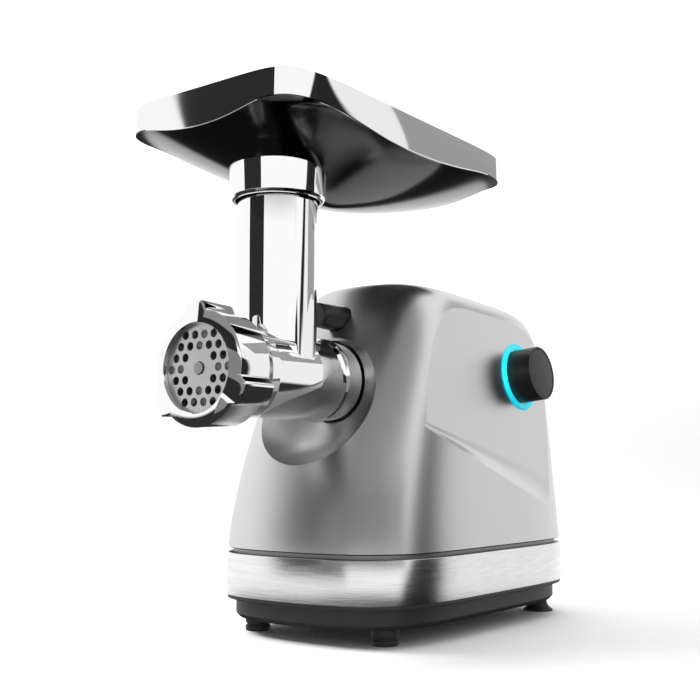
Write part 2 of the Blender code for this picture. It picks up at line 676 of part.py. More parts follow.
def make_motor():
    half = STATOR_HALF
    outline = squircle(half, -half, half, 5, 32)
    bore = ROTOR_RADIUS + 0.8
    outer = [level(outline, z) for z in (STATOR_Y, STATOR_END)]
    inner = [level(circle(bore, 32, math.pi / 32), z) for z in (STATOR_END, STATOR_Y)]
    add("motor_stator", along_y(loft(outer + inner, True), 0, MOTOR_Z), "lamination", "base")
    for end, start in (("front", STATOR_Y - GAP - WINDING_LENGTH), ("rear", STATOR_END + GAP)):
        stop = start + WINDING_LENGTH
        ring = [(bore + 1, start), (half - 4, start), (half - 3, stop), (bore + 1, stop)]
        add(f"field_winding_{end}", along_y(turned(ring, 24, True), 0, MOTOR_Z), "copper", "base")
    pinion_end = COUNTER_GEAR_Y + COUNTER_GEAR_WIDTH + 1
    rod = drum(MOTOR_SHAFT_RADIUS, pinion_end, FAN_END + 3, 16, 0, MOTOR_Z)
    shaft = add("motor_shaft", rod, "gear_steel", "motor")
    pinion = gear_outline(INPUT_MODULE, MOTOR_PINION_TEETH, UP)
    wide = prism(pinion, COUNTER_GEAR_Y - 0.5, pinion_end + 0.5)
    combine(shaft, along_y(wide, 0, MOTOR_Z), "UNION")
    sleeve = MOTOR_SHAFT_RADIUS + GAP
    core = [(sleeve, STATOR_Y), (ROTOR_RADIUS, STATOR_Y), (ROTOR_RADIUS, STATOR_END), (sleeve, STATOR_END)]
    add("rotor_core", along_y(turned(core, 32, True), 0, MOTOR_Z), "lamination", "motor")
    brush_y = STATOR_END + 6
    start, stop = brush_y - 3, brush_y + 9
    commutator = [(sleeve, start), (11, start), (11, stop), (sleeve, stop)]
    add("commutator", along_y(turned(commutator, 24, True), 0, MOTOR_Z), "copper", "motor")
    bore, start, stop = sleeve + 0.2, BRACKET_Y - 1, BRACKET_END + 1
    bearing = [(bore, start), (9, start), (9, stop), (bore, stop)]
    add("rear_bearing", along_y(turned(bearing, 20, True), 0, MOTOR_Z), "bronze", "base")
    for side in (-1, 1):
        near, far = sorted((side * 11.6, side * 19))
        brush = box((near, brush_y, MOTOR_Z - 3), (far, brush_y + 6, MOTOR_Z + 3))
        add("carbon_brush_" + ("right" if side > 0 else "left"), brush, "lamination", "base")


def make_motor_bracket():
    """A bridge behind the stator that holds the rear bearing and stands on the pan's floor."""
    radius = 9 + GAP
    wide = STATOR_HALF + 4
    floor = FOOT_HEIGHT + PAN_WALL + GAP
    outline = [(-wide, floor), (wide, floor), (wide, MOTOR_Z + 14), (14, MOTOR_Z + 30), (-14, MOTOR_Z + 30),
               (-wide, MOTOR_Z + 14)]
    bracket = add("motor_bracket", across_y(outline, BRACKET_Y, BRACKET_END), "cast_aluminium", "base")
    combine(bracket, drum(radius, BRACKET_Y - 1, BRACKET_END + 1, 20, 0, MOTOR_Z))


def make_fan():
    """A hub with eight blades behind the bracket."""
    hub = [(MOTOR_SHAFT_RADIUS + GAP, FAN_Y), (9, FAN_Y), (9, FAN_END), (MOTOR_SHAFT_RADIUS + GAP, FAN_END)]
    fan = add("cooling_fan", along_y(turned(hub, 24, True), 0, MOTOR_Z), "black_plastic", "motor")
    disc = [(8, FAN_Y), (FAN_RADIUS, FAN_Y), (FAN_RADIUS, FAN_Y + 1.5), (8, FAN_Y + 1.5)]
    combine(fan, along_y(turned(disc, 24, True), 0, MOTOR_Z), "UNION")
    for i in range(8):
        blade = box((8, -0.8, FAN_Y + 1), (FAN_RADIUS - 1, 0.8, FAN_END - 1))
        blade = placed(blade, Matrix.Rotation(math.pi * (i + 0.5) / 4, 4, "Z"))
        combine(fan, along_y(blade, 0, MOTOR_Z), "UNION")


# ---------------------------------------------------------------- grinding head


def make_head():
    ring_rear = OUTLET_Y + RING_LENGTH
    outer = BARREL_BORE + BARREL_WALL
    profile = [(RIM_RADIUS, PLATE_Y + 0.2), (RIM_RADIUS, ring_rear + 2), (outer + 2, ring_rear + 8),
               (outer, ring_rear + 18), (outer - 0.4, TUBE_Y + 15), (outer - 2, NECK_Y - 14),
               (outer - 2.2, NECK_Y - 5), (NECK_RADIUS + 0.9, NECK_Y - 2), (NECK_RADIUS + 0.9, NECK_Y),
               (NECK_RADIUS, NECK_Y), (NECK_RADIUS, NECK_END)]
    head = add("head_body", along_y(turned(profile, 32), 0, BARREL_Z), "polished_metal", "head")
    tube = turned([(TUBE_RADIUS - 1, BARREL_Z), (TUBE_RADIUS, TUBE_TOP)], 32)
    combine(head, placed(tube, Matrix.Translation((0, TUBE_Y, 0))), "UNION")
    lugs = [sector(NECK_RADIUS + BAYONET - 0.1, NECK_RADIUS - 2, 20, 90 + 120 * i) for i in range(3)]
    lugs = several([prism(lug, LUG_Y, LUG_Y + LUG_WIDTH) for lug in lugs])
    combine(head, along_y(lugs, 0, BARREL_Z), "UNION")
    bush = AUGER_BUSH_RADIUS + GAP
    bore = [(SEAT_RADIUS, PLATE_Y - 2), (SEAT_RADIUS, AUGER_Y + 0.5), (BARREL_BORE, AUGER_Y + 0.5),
            (BARREL_BORE, AUGER_END + 2), (bush, AUGER_END + 2), (bush, NECK_END + 1)]
    combine(head, along_y(turned(bore, 32), 0, BARREL_Z))
    inner = TUBE_RADIUS - TUBE_WALL
    tube_bore = turned([(inner - 0.6, BARREL_Z), (inner, TUBE_TOP + 1)], 28)
    combine(head, placed(tube_bore, Matrix.Translation((0, TUBE_Y, 0))))
    half = EAR_HALF + GAP
    reach = RIM_RADIUS + 5
    combine(head, box((-reach, PLATE_Y - 2, BARREL_Z - half), (reach, PLATE_END + GAP, BARREL_Z + half)))


def make_auger_bush():
    sleeve = [(AUGER_CORE + RUN, AUGER_END + 2.4), (AUGER_BUSH_RADIUS, AUGER_END + 2.4),
              (AUGER_BUSH_RADIUS, BUSH_END), (AUGER_CORE + RUN, BUSH_END)]
    add("auger_bush", along_y(turned(sleeve, 24, True), 0, BARREL_Z), "black_plastic", "head")


def plate_holes():
    """Middles of the holes: the second and third rings of a hexagonal pattern."""
    places = []
    for a in range(-3, 4):
        for b in range(-3, 4):
            ring = max(abs(a), abs(b), abs(a + b))
            if ring in (2, 3):
                places.append((PLATE_PITCH * (a + b / 2), PLATE_PITCH * b * math.sqrt(3) / 2))
    return places


def make_plate():
    outline = []
    ear = math.asin(EAR_HALF / PLATE_RADIUS)
    for side in (0, math.pi):
        far = PLATE_RADIUS + PLATE_EAR
        for a in (-ear, ear):
            turn = math.asin(math.sin(a) * PLATE_RADIUS / far) + side
            outline.append((far * math.cos(turn), far * math.sin(turn)))
        for i in range(15):
            a = side + ear + (math.pi - 2 * ear) * i / 14
            outline.append((PLATE_RADIUS * math.cos(a), PLATE_RADIUS * math.sin(a)))
    disc = along_y(prism(outline, PLATE_Y, PLATE_END), 0, BARREL_Z)
    plate = add("perforated_plate", disc, "plate_steel", "head")
    holes = [post(PLATE_HOLE / 2, PLATE_Y - 1, PLATE_END + 1, 6, x, y) for x, y in plate_holes()]
    holes.append(post(PIN_RADIUS + RUN, PLATE_Y - 1, PLATE_END + 1, 16, 0, 0))
    combine(plate, along_y(several(holes), 0, BARREL_Z))


def auger_section(angle, radius):
    """Twelve points round a flight that stands out to radius, with its crest at angle."""
    crest = [(-22, radius), (-8, radius), (8, radius), (22, radius)]
    core = [(a, AUGER_CORE) for a in (44, 83, 122, 161, 199, 238, 277, 316)]
    turns = [(math.radians(a + angle), r) for a, r in crest + core]
    return [(r * math.cos(a), r * math.sin(a)) for a, r in turns]


def sided(half, sides):
    """Twelve points round a regular shape with flats at half; sides of 0 is a circle."""
    outline = []
    for a in range(-45, 315, 30):
        angle = math.radians(a)
        bend = 1.0
        if sides:
            turn = math.pi / sides
            corner = math.pi / 4 if sides == 4 else math.pi / 12
            bend = math.cos((angle - corner) % (2 * turn) - turn)
        outline.append((half / bend * math.cos(angle), half / bend * math.sin(angle)))
    return outline


def make_auger():
    """Pin, square for the knife, three turns of flight, journal and driving hexagon in one piece."""
    steps = AUGER_TURNS * 12
    radius = BARREL_BORE - RUN
    start, end = AUGER_Y + 1, AUGER_END
    rings = [level(sided(PIN_RADIUS, 0), PLATE_Y - 1), level(sided(PIN_RADIUS, 0), PLATE_END)]
    rings += [level(sided(KNIFE_SQUARE, 4), PLATE_END), level(sided(KNIFE_SQUARE, 4), AUGER_Y)]
    rings.append(level(sided(AUGER_CORE, 0), AUGER_Y))
    for i in range(steps + 1):
        rings.append(level(auger_section(-30 * i, radius), start + (end - start) * i / steps))
    rings.append(level(sided(AUGER_CORE, 0), end + 1))
    rings.append(level(sided(AUGER_CORE, 0), BUSH_END - 0.5))
    rings.append(level(sided(DRIVE_FLAT, 6), BUSH_END - 0.5))
    rings.append(level(sided(DRIVE_FLAT, 6), CASE_Y + 4))
    add("auger", along_y(loft(rings), 0, BARREL_Z), "polished_metal", "drive")


def make_knife():
    """Four blades on a boss with a square hole."""
    outline = []
    tip, root = PLATE_RADIUS - 2.5, 10.5
    for i in range(4):
        a = math.pi / 2 * i
        for radius, turn in ((root, -0.7), (root, -0.38), (tip, -0.16), (tip, 0.22), (root, 0.38)):
            outline.append((radius * math.cos(a + turn), radius * math.sin(a + turn)))
    blades = along_y(prism(outline, KNIFE_Y, KNIFE_END), 0, BARREL_Z)
    knife = add("cross_knife", blades, "plate_steel", "drive")
    half = KNIFE_SQUARE + GAP
    combine(knife, box((-half, KNIFE_Y - 1, BARREL_Z - half), (half, KNIFE_END + 1, BARREL_Z + half)))


def ring_outline(inset, count=54):
    """The ring's outside with its lugs, which have sloping flanks."""
    outline = []
    for i in range(count):
        a = 2 * math.pi * i / count
        turn = (math.degrees(a) + 95) % (360 / RING_LUGS)
        away = min(turn, 360 / RING_LUGS - turn)
        lug = RING_LUG * min(max((16 - away) / 8, 0), 1)
        radius = RING_RADIUS + lug - inset
        outline.append((radius * math.cos(a), radius * math.sin(a)))
    return outline


def make_ring():
    count = 54
    rear = OUTLET_Y + RING_LENGTH
    inside = circle(RIM_RADIUS + RUN, count)
    mouth = circle(OUTLET_RADIUS, count)
    lip = OUTLET_Y + RING_LIP
    rings = [level(circle(OUTLET_RADIUS + 1, count), OUTLET_Y), level(ring_outline(1), OUTLET_Y),
             level(ring_outline(0), OUTLET_Y + 1), level(ring_outline(0.8), rear), level(inside, rear),
             level(inside, lip), level(mouth, lip), level(mouth, OUTLET_Y + 1)]
    add("screw_ring", along_y(loft(rings, True), 0, BARREL_Z), "polished_metal", "ring")


# ---------------------------------------------------------------- tray


def hull_z(x, y):
    """Height of the tray's domed underside."""
    middle, half = (TRAY_FRONT + TRAY_REAR) / 2, (TRAY_REAR - TRAY_FRONT) / 2
    out = (2 * x / TRAY_WIDTH) ** 2 + ((y - middle) / half) ** 2
    rise = TRAY_TOP - BAND_OF_TRAY - TRAY_BOTTOM
    return min(TRAY_BOTTOM + rise * out**HULL_POWER, TRAY_TOP - BAND_AT_CORNERS)


def make_tray():
    """Rings from the chute out to the rim along the underside, and back along the inside."""
    outer, inner = [squircle(TRAY_WIDTH / 2 - inset, TRAY_FRONT + inset, TRAY_REAR - inset, TRAY_POWER, 40)
                    for inset in (0, TRAY_WALL)]

    def chute(radius):
        ways = [Vector((x, y - TUBE_Y)).normalized() * radius for x, y in outer]
        return [(way.x, TUBE_Y + way.y) for way in ways]

    def between(start, end, part, lift):
        ring = [(a + (c - a) * part, b + (d - b) * part) for (a, b), (c, d) in zip(start, end)]
        return [(x, y, hull_z(x, y) + lift) for x, y in ring]

    out, hole = chute(SPIGOT_RADIUS), chute(SPIGOT_RADIUS - TRAY_WALL)
    parts = (0.0, 0.2, 0.45, 0.7, 0.87, 1.0)
    low = TUBE_TOP - 9
    rings = [level(out, low)] + [between(out, outer, part, 0) for part in parts]
    rings += [level(outer, TRAY_TOP), level(inner, TRAY_TOP)]
    rings += [between(hole, inner, part, TRAY_WALL) for part in reversed(parts)]
    rings.append(level(hole, low))
    add("hopper_tray", loft(rings, True), "polished_metal", "tray")


def make_collar():
    """A sleeve that hides the tube's mouth, open below, its top edge against the tray's underside."""
    low = TUBE_TOP - COLLAR_OVERLAP

    def top(radius):
        return [(x, y + TUBE_Y, hull_z(x, y + TUBE_Y) - GAP) for x, y in circle(radius, 32)]

    def bottom(radius, z):
        return [(x, y + TUBE_Y, z) for x, y in circle(radius, 32)]

    rings = [bottom(COLLAR_INNER, low), bottom(COLLAR_RADIUS - 1, low), bottom(COLLAR_RADIUS, low + 14),
             top(COLLAR_RADIUS + 1), top(COLLAR_INNER)]
    add("tray_collar", loft(rings, True), "polished_metal", "tray")


# ---------------------------------------------------------------- controls


def make_knob():
    base = GAP - 0.8
    top = KNOB_HEIGHT
    recess = top - 1.5
    bore = SPINDLE_RADIUS + GAP
    profile = [(KNOB_RADIUS - 1.6, recess), (KNOB_RADIUS - 1.6, top), (KNOB_RADIUS - 0.8, top),
               (KNOB_RADIUS, top - 0.8), (KNOB_RADIUS, base), (bore, base), (bore, top - 6)]
    add("knob", placed(turned(profile, 24), KNOB_PLACE), "black_plastic", "knob")
    cap = [(KNOB_RADIUS - 1.9, recess + GAP), (KNOB_RADIUS - 1.9, top - 0.4)]
    add("knob_cap", placed(turned(cap, 24), KNOB_PLACE), "cap_metal", "knob")
    spindle = [(SPINDLE_RADIUS, SWITCH_FRONT - 3), (SPINDLE_RADIUS, top - 6.4)]
    add("switch_spindle", placed(turned(spindle, 12), KNOB_PLACE), "gear_steel", "knob")


def make_lamp_ring():
    ring = [(LAMP_INNER, -0.9), (LAMP_OUTER, -0.9), (LAMP_OUTER, 0.9), (LAMP_OUTER - 0.6, 1.5)]
    ring.append((LAMP_INNER, 1.5))
    add("lamp_ring", placed(turned(ring, 28, True), KNOB_PLACE), "lamp_cyan", "base")


def make_switch():
    bore = SPINDLE_RADIUS + RUN
    back = SWITCH_FRONT - SWITCH_DEPTH
    profile = [(bore, SWITCH_FRONT - 3.5), (bore, SWITCH_FRONT), (13, SWITCH_FRONT), (13, back), (2, back)]
    add("rotary_switch", placed(turned(profile, 16), KNOB_PLACE), "black_plastic", "base")
    low = back - GAP
    outline = squircle(24, -32, 20, 12, 12)
    add("control_board", placed(prism(outline, low - 1.6, low), KNOB_PLACE), "board_green", "base")


def button_outline(radius):
    """Three shallow finger grooves round a circle."""
    outline = []
    for i in range(24):
        a = 2 * math.pi * i / 24
        r = radius * (1 - 0.09 * (0.5 + 0.5 * math.cos(3 * a + math.pi / 2)) ** 2)
        outline.append((r * math.cos(a), r * math.sin(a)))
    return outline


def make_release():
    stem_end = CASE_Y - BUTTON_TRAVEL - 1
    rings = [level(button_outline(BUTTON_RADIUS - 2), BUTTON_FRONT)]
    rings += [level(button_outline(BUTTON_RADIUS), BUTTON_FRONT + deep) for deep in (2, 13)]
    rings.append(level(circle(BUTTON_RADIUS - 0.4), stem_end))
    button = add("release_button", along_y(loft(rings), 0, BUTTON_Z), "black_plastic", "release")
    wing_low = max(BUTTON_Z - 4.6, BARREL_Z + CASE_TOP_RADIUS + CASE_WALL + 0.8)
    wings = box((-12, stem_end - 1, wing_low), (12, stem_end + 1.8, BUTTON_Z + 2))
    combine(button, wings, "UNION")
    rod = drum(BOLT_RADIUS, stem_end + 2.1, GUIDE_Y + 14, 14, 0, BUTTON_Z)
    add("latch_bolt", rod, "gear_steel", "release")
    top = BARREL_Z + CASE_TOP_RADIUS + CASE_WALL + GAP
    block = box((-9, GUIDE_Y, top), (9, GUIDE_Y + 6, BUTTON_Z + 8))
    guide = add("latch_guide", block, "cast_aluminium", "base")
    combine(guide, drum(BOLT_RADIUS + RUN, GUIDE_Y - 1, GUIDE_Y + 7, 14, 0, BUTTON_Z))
    coil(stem_end + 2.6, GUIDE_Y - 0.6)


def coil(start, end):
    """The return spring: a round wire wound round the bolt."""
    wire, radius, turns, steps = 0.55, 5.2, 3, 9
    rings = []
    for i in range(turns * steps + 1):
        a = 2 * math.pi * i / steps
        y = start + wire + (end - start - 2 * wire) * i / (turns * steps)
        ring = []
        for j in range(4):
            b = 2 * math.pi * j / 4
            out = radius + wire * math.cos(b)
            ring.append((out * math.cos(a), out * math.sin(a), y + wire * math.sin(b)))
        rings.append(ring)
    add("release_spring", along_y(loft(rings), 0, BUTTON_Z), "gear_steel", "release")


def main():
    clear_scene()
    make_finishes()
    make_pivots()
    for make in (make_housing, make_band, make_pan, make_gland, make_feet, make_base_screws, make_gearbox,
                 make_output, make_countershaft, make_motor, make_motor_bracket, make_fan, make_head,
                 make_auger_bush, make_plate, make_auger, make_knife, make_ring, make_tray, make_collar,
                 make_knob, make_lamp_ring, make_switch, make_release):
        make()


main()
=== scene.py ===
"""Visible model of the electric meat grinder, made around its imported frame.

The frame is in metres with +Z up, the outlet towards -Y and the knob towards +X. Shapes here are drawn in
millimetres from the point on the table under the barrel's axis, and make_piece puts them in the frame.
"""

import json
import math

import bmesh
import bpy
import numpy as np
from mathutils import Matrix, Vector


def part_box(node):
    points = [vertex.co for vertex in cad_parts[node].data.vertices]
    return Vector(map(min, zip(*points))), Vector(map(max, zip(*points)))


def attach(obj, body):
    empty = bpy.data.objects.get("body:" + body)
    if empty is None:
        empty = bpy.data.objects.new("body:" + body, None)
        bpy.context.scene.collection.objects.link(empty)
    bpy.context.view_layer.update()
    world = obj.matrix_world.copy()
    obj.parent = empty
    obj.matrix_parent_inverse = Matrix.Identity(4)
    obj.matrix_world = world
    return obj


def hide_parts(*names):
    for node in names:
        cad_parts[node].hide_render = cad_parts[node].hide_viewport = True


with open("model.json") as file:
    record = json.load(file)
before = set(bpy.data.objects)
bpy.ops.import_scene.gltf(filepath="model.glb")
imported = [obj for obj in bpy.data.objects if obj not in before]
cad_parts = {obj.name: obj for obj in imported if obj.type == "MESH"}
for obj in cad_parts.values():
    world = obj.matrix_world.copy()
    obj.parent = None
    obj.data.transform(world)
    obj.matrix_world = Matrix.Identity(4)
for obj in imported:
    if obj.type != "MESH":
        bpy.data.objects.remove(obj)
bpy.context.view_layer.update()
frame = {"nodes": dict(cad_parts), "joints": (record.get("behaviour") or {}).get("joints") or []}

MM = 0.001
JOINTS = {joint["name"]: joint for joint in frame["joints"]}
HOME = Vector(JOINTS["head_turn"]["pos_m"])
BARREL_Z = HOME.z / MM


def span(node):
    """Lowest and highest corners of a node, in millimetres from the point under the barrel's axis."""
    start = Vector((HOME.x, HOME.y, 0))
    return [(corner - start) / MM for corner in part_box(node)]


# Base and housing
PAN_LOW, PAN_HIGH = span("base_pan")
BAND_LOW, BAND_HIGH = span("trim_band")
BASE_HALF = -BAND_LOW.x
BASE_FRONT, BASE_REAR = BAND_LOW.y, BAND_HIGH.y
PLAN_POWER = 5.0
FRONT_BOW = 14.0
REVEAL = 3.0
PAN_FLOOR = 2.5
FLOOR_EDGE = 30.0  # from the outline in to where the pan's flat floor starts
HOUSING_INSET = 0.8
FOOT_LIP, FOOT_TUCK = 0.8, 0.988  # the housing's lower edge turns in
HOUSING_BOTTOM = BAND_HIGH.z + REVEAL
HOUSING_HEIGHT = 192.0
SIDE_LEAN = 14.0
FRONT_LEAN = 75.0
FRONT_CURVE = 1.5
REAR_LEAN = 14.0
TOP_POWER = 7.0
TOP_SLOPE = math.tan(math.radians(2.5))
CREST = (35.0, 120.0)

# Facet on the knob side
FACET_X, FACET_Z, FACET_LEAN = 82.0, 76.0, 0.11
FACET_FALL = 0.333
FACET_CORNER = (-34.0, 150.0)
FACET_CORNER_RADIUS = 26.0
FACET_HOLLOW = 1.2
FACET_RISE = 100.0  # how far its front edge runs up past the corner
FACET_RUN, FACET_STEPS = 260.0, 65  # how far its lower edge runs back, and in how many steps
LEDGE_NARROW, LEDGE_WIDE, LEDGE_GROWTH = 5.0, 24.0, 0.12
LEDGE_START_Y = -20.0
LEDGE_MARGIN = 9.0  # how far the cutter reaches past the edge, outside the body

# Cutters stand clear of the body by this much
CLEAR_OF_BODY = 40.0

# Dish round the neck
DISH_RADIUS, DISH_BACK, DISH_DEPTH, DISH_POWER = 62.0, -13.0, 82.0, 3.0
NECK_HOLE = 29.8
HOLE_FRONT, HOLE_REAR = -60.0, 3.0

# Grinding head
RING_LOW, RING_HIGH = span("screw_ring")
OUTLET_Y, RING_END = RING_LOW.y, RING_HIGH.y
RING_RADIUS, RING_LUG, RING_MOUTH = 37.0, 5.5, 28.0
RING_BORE, RING_FACE = 33.8, 3.3
LUG_TURN, LUG_HALF, LUG_BLEND = 95.0, 16.0, 8.0  # degrees
HEAD_TOP = span("head_body")[1].z
TUBE_Y, TUBE_RADIUS, TUBE_WALL = -76.6, 27.5, 2.5
BARREL_RADIUS, BARREL_BORE, NECK_Y = 29.0, 25.2, -30.5
MOUTH_RADIUS = 33.2
RIB_Z, RIB_HEIGHT = 18.0, 2.6
JOURNAL_END = 2.0
BAYONET_OUTER, BAYONET_INNER, BAYONET_WIDTH = 30.8, 27.0, 20.0
PLATE_LOW, PLATE_HIGH = span("perforated_plate")
PLATE_RADIUS, PLATE_PITCH, PLATE_HOLE, PLATE_CENTRE = 30.6, 8.1, 5.5, 4.2

# Tray and collar
TRAY_LOW, TRAY_HIGH = span("hopper_tray")
COLLAR_BOTTOM = span("tray_collar")[0].z
TRAY_POWER, TRAY_WALL = 8.0, 1.6
TRAY_FLOOR = 305.0
BAND_OF_TRAY, BAND_AT_CORNERS, HULL_POWER = 26.0, 18.5, 0.7
HULL_BLEND = 1.2  # how tightly the hull turns into the rim
SPIGOT_PLAY = 1.2
COLLAR_RADIUS, COLLAR_PLAY = 32.5, 1.5

# Feed screw
SHAFT_RADIUS, FLIGHT_RISE, FLIGHT_TURNS = 10.0, 15.1, 3

# Controls
KNOB_AXIS = Vector(JOINTS["knob_turn"]["axis"])
KNOB_CENTRE = (Vector(JOINTS["knob_turn"]["pos_m"]) - Vector((HOME.x, HOME.y, 0))) / MM
KNOB_RADIUS, KNOB_HEIGHT = 21.0, 20.0
LAMP_OUTER, LAMP_INNER = 26.5, 22.3
LAMP_SEAT, LAMP_PLAY = -1.2, 0.3
BUTTON_FRONT = span("release_button")[0].y
BUTTON_Z, BUTTON_RADIUS = 224.0, 9.2
BUTTON_GRIP, BUTTON_PLAY = 12.0, 0.6

# Places: each takes a shape drawn along +Z
TO_KNOB_AXIS = Vector((0, 0, 1)).rotation_difference(KNOB_AXIS).to_matrix().to_4x4()
KNOB_PLACE = Matrix.Translation(KNOB_CENTRE) @ TO_KNOB_AXIS
TO_REAR = Matrix.Rotation(-math.pi / 2, 4, "X")
BARREL_PLACE = Matrix.Translation((0, 0, BARREL_Z)) @ TO_REAR
BUTTON_PLACE = Matrix.Translation((0, 0, BUTTON_Z)) @ TO_REAR
TUBE_PLACE = Matrix.Translation((0, TUBE_Y, 0))

# View and studio, in metres and degrees
CAMERA_PLACE = (0.4641, -0.6435, 0.1159)
CAMERA_TILT, CAMERA_TURN = 6.37, 37.0
LENS, SENSOR = 54.41, 36.0
LAMP_COLOUR = (0.02, 0.86, 1.0)
LOOK_AT = Vector((0, 0, 0.15))
SWEEP_HALF, SWEEP_FRONT, SWEEP_BEND, SWEEP_RADIUS, SWEEP_TOP = 4.0, -2.5, 1.6, 1.2, 4.0


# ---------------------------------------------------------------- camera


def add(name, data):
    """Puts a new object with this data in the scene."""
    made = bpy.data.objects.new(name, data)
    bpy.context.collection.objects.link(made)
    return made


def make_camera():
    """The viewpoint: in front on the knob side, a little above the table, looking slightly up."""
    data = bpy.data.cameras.new("view")
    data.lens = LENS
    data.sensor_width = SENSOR
    data.clip_start = 0.01
    camera = add("view", data)
    camera.location = CAMERA_PLACE
    camera.rotation_euler = (math.radians(90 + CAMERA_TILT), 0, math.radians(CAMERA_TURN))
    bpy.context.scene.camera = camera


# ---------------------------------------------------------------- shader nodes


class Wire:
    """A node's output. Sums with it add Math nodes."""

    def __init__(self, shader, socket):
        self.shader = shader
        self.socket = socket

    def math(self, operation, *values):
        return self.shader.node("ShaderNodeMath", {"operation": operation}, dict(enumerate(values)))

    def __add__(self, other):
        return self.math("ADD", self, other)

    __radd__ = __add__

    def __sub__(self, other):
        return self.math("SUBTRACT", self, other)

    def __rsub__(self, other):
        return self.math("SUBTRACT", other, self)

    def __mul__(self, other):
        return self.math("MULTIPLY", self, other)

    __rmul__ = __mul__

    def __truediv__(self, other):
        return self.math("DIVIDE", self, other)

    def step(self, low, high, start=0.0, end=1.0):
        """Rises smoothly from start at low to end at high."""
        values = {"Value": self, "From Min": low, "From Max": high, "To Min": start, "To Max": end}
        return self.shader.node("ShaderNodeMapRange", {"interpolation_type": "SMOOTHSTEP"}, values)


class Shader:
    """The nodes of one material or of the world."""

    def __init__(self, tree):
        self.tree = tree
        tree.nodes.clear()

    def node(self, kind, settings=None, inputs=None, out=0):
        """Adds a node, changes its settings, then sets or links its inputs, and returns one output."""
        made = self.tree.nodes.new(kind)
        for name, value in (settings or {}).items():
            if name == "stops":
                self.set_stops(made.color_ramp, value)
            else:
                setattr(made, name, value)
        for name, value in (inputs or {}).items():
            if isinstance(value, Wire):
                self.tree.links.new(value.socket, made.inputs[name])
            else:
                made.inputs[name].default_value = value
        return Wire(self, made.outputs[out])

    def set_stops(self, ramp, stops):
        while len(ramp.elements) < len(stops):
            ramp.elements.new(1.0)
        for element, (place, shade) in zip(ramp.elements, stops):
            element.position = place
            element.color = grey(shade)

    def end(self, kind, surface):
        """Adds the output node and gives it the surface."""
        output = self.tree.nodes.new(kind)
        self.tree.links.new(surface.socket, output.inputs["Surface"])

    def place(self, out="Object"):
        return self.node("ShaderNodeTexCoord", {}, {}, out)

    def split(self, vector, axis):
        return self.node("ShaderNodeSeparateXYZ", {}, {"Vector": vector}, axis)

    def stretch(self, vector, scale):
        return self.node("ShaderNodeMapping", {}, {"Vector": vector, "Scale": scale})

    def seen_from(self, vector, centre, turn):
        """The vector from a moved and turned origin: a mapping of type TEXTURE takes both away."""
        values = {"Vector": vector, "Location": tuple(centre), "Rotation": tuple(turn)}
        return self.node("ShaderNodeMapping", {"vector_type": "TEXTURE"}, values)

    def noise(self, vector, scale, detail=2.0, rough=0.5):
        values = {"Vector": vector, "Scale": scale, "Detail": detail, "Roughness": rough}
        return self.node("ShaderNodeTexNoise", {}, values)

    def blend(self, mask, low, high):
        """From colour low to colour high as mask goes from 0 to 1."""
        return self.node("ShaderNodeMix", {"data_type": "RGBA"}, {0: mask, 6: low, 7: high}, 2)

    def bump(self, height, distance, strength=1.0):
        values = {"Height": height, "Distance": distance, "Strength": strength}
        return self.node("ShaderNodeBump", {}, values)


def grey(shade):
    """A colour from one number, or from red, green and blue."""
    return (shade, shade, shade, 1) if isinstance(shade, float) else (*shade, 1)


def make_material(name, look, **fixed):
    """A Principled material. look(shader) gives the inputs that vary over the surface, fixed the others."""
    made = bpy.data.materials.new(name)
    made.use_nodes = True
    shader = Shader(made.node_tree)
    values = {key.replace("_", " "): value for key, value in fixed.items()}
    values.update(look(shader))
    surface = shader.node("ShaderNodeBsdfPrincipled", {}, values)
    shader.end("ShaderNodeOutputMaterial", surface)
    return made


def grained(light, dark, rough, spread, grain, depth, cloud=25.0):
    """A look with a fine grain over slow cloudy changes of tone and gloss."""

    def look(shader):
        place = shader.place()
        fine = shader.noise(place, grain, 2.0)
        slow = shader.noise(place, cloud, 3.0)
        tone = fine * 0.6 + slow * 0.4
        return {
            "Base Color": shader.blend(tone, grey(dark), grey(light)),
            "Roughness": rough + spread * (tone - 0.5),
            "Normal": shader.bump(fine, depth),
        }

    return look


def brushed(light, dark, rough, scale):
    """A look with fine scratches along the piece's own U direction."""

    def look(shader):
        run = shader.place("UV")
        lines = shader.noise(shader.stretch(run, (scale, scale * 30, 1)), 1.0, 4.0, 0.7)
        broad = shader.noise(shader.stretch(run, (scale * 0.5, scale * 5, 1)), 1.0, 2.0)
        slow = shader.noise(shader.place(), 18.0, 2.0)
        tone = lines * 0.6 + broad * 0.25 + slow * 0.15
        return {
            "Base Color": shader.blend(tone.step(0.32, 0.68), grey(dark), grey(light)),
            "Roughness": rough + 0.22 * (tone - 0.5),
            "Normal": shader.bump(lines, 0.00004, 0.8),
        }

    return look


def turned_marks(light, dark, rough, pitch, place, depth=0.00002):
    """A look with the fine rings that a lathe leaves, round the local Z axis of place."""

    def look(shader):
        centre = place.translation * MM + Vector((HOME.x, HOME.y, 0))
        seen = shader.seen_from(shader.place(), centre, place.to_euler())
        across, along = (shader.split(seen, axis) for axis in "XY")
        square = across * across + along * along
        radius = square.math("SQRT", square)
        rings = shader.noise(shader.node("ShaderNodeCombineXYZ", {}, {"X": radius}), 1 / pitch, 3.0, 0.7)
        slow = shader.noise(shader.place(), 60.0, 2.0)
        tone = rings * 0.7 + slow * 0.3
        return {
            "Base Color": shader.blend(tone, grey(dark), grey(light)),
            "Roughness": rough + 0.15 * (tone - 0.5),
            "Normal": shader.bump(rings, depth),
        }

    return look


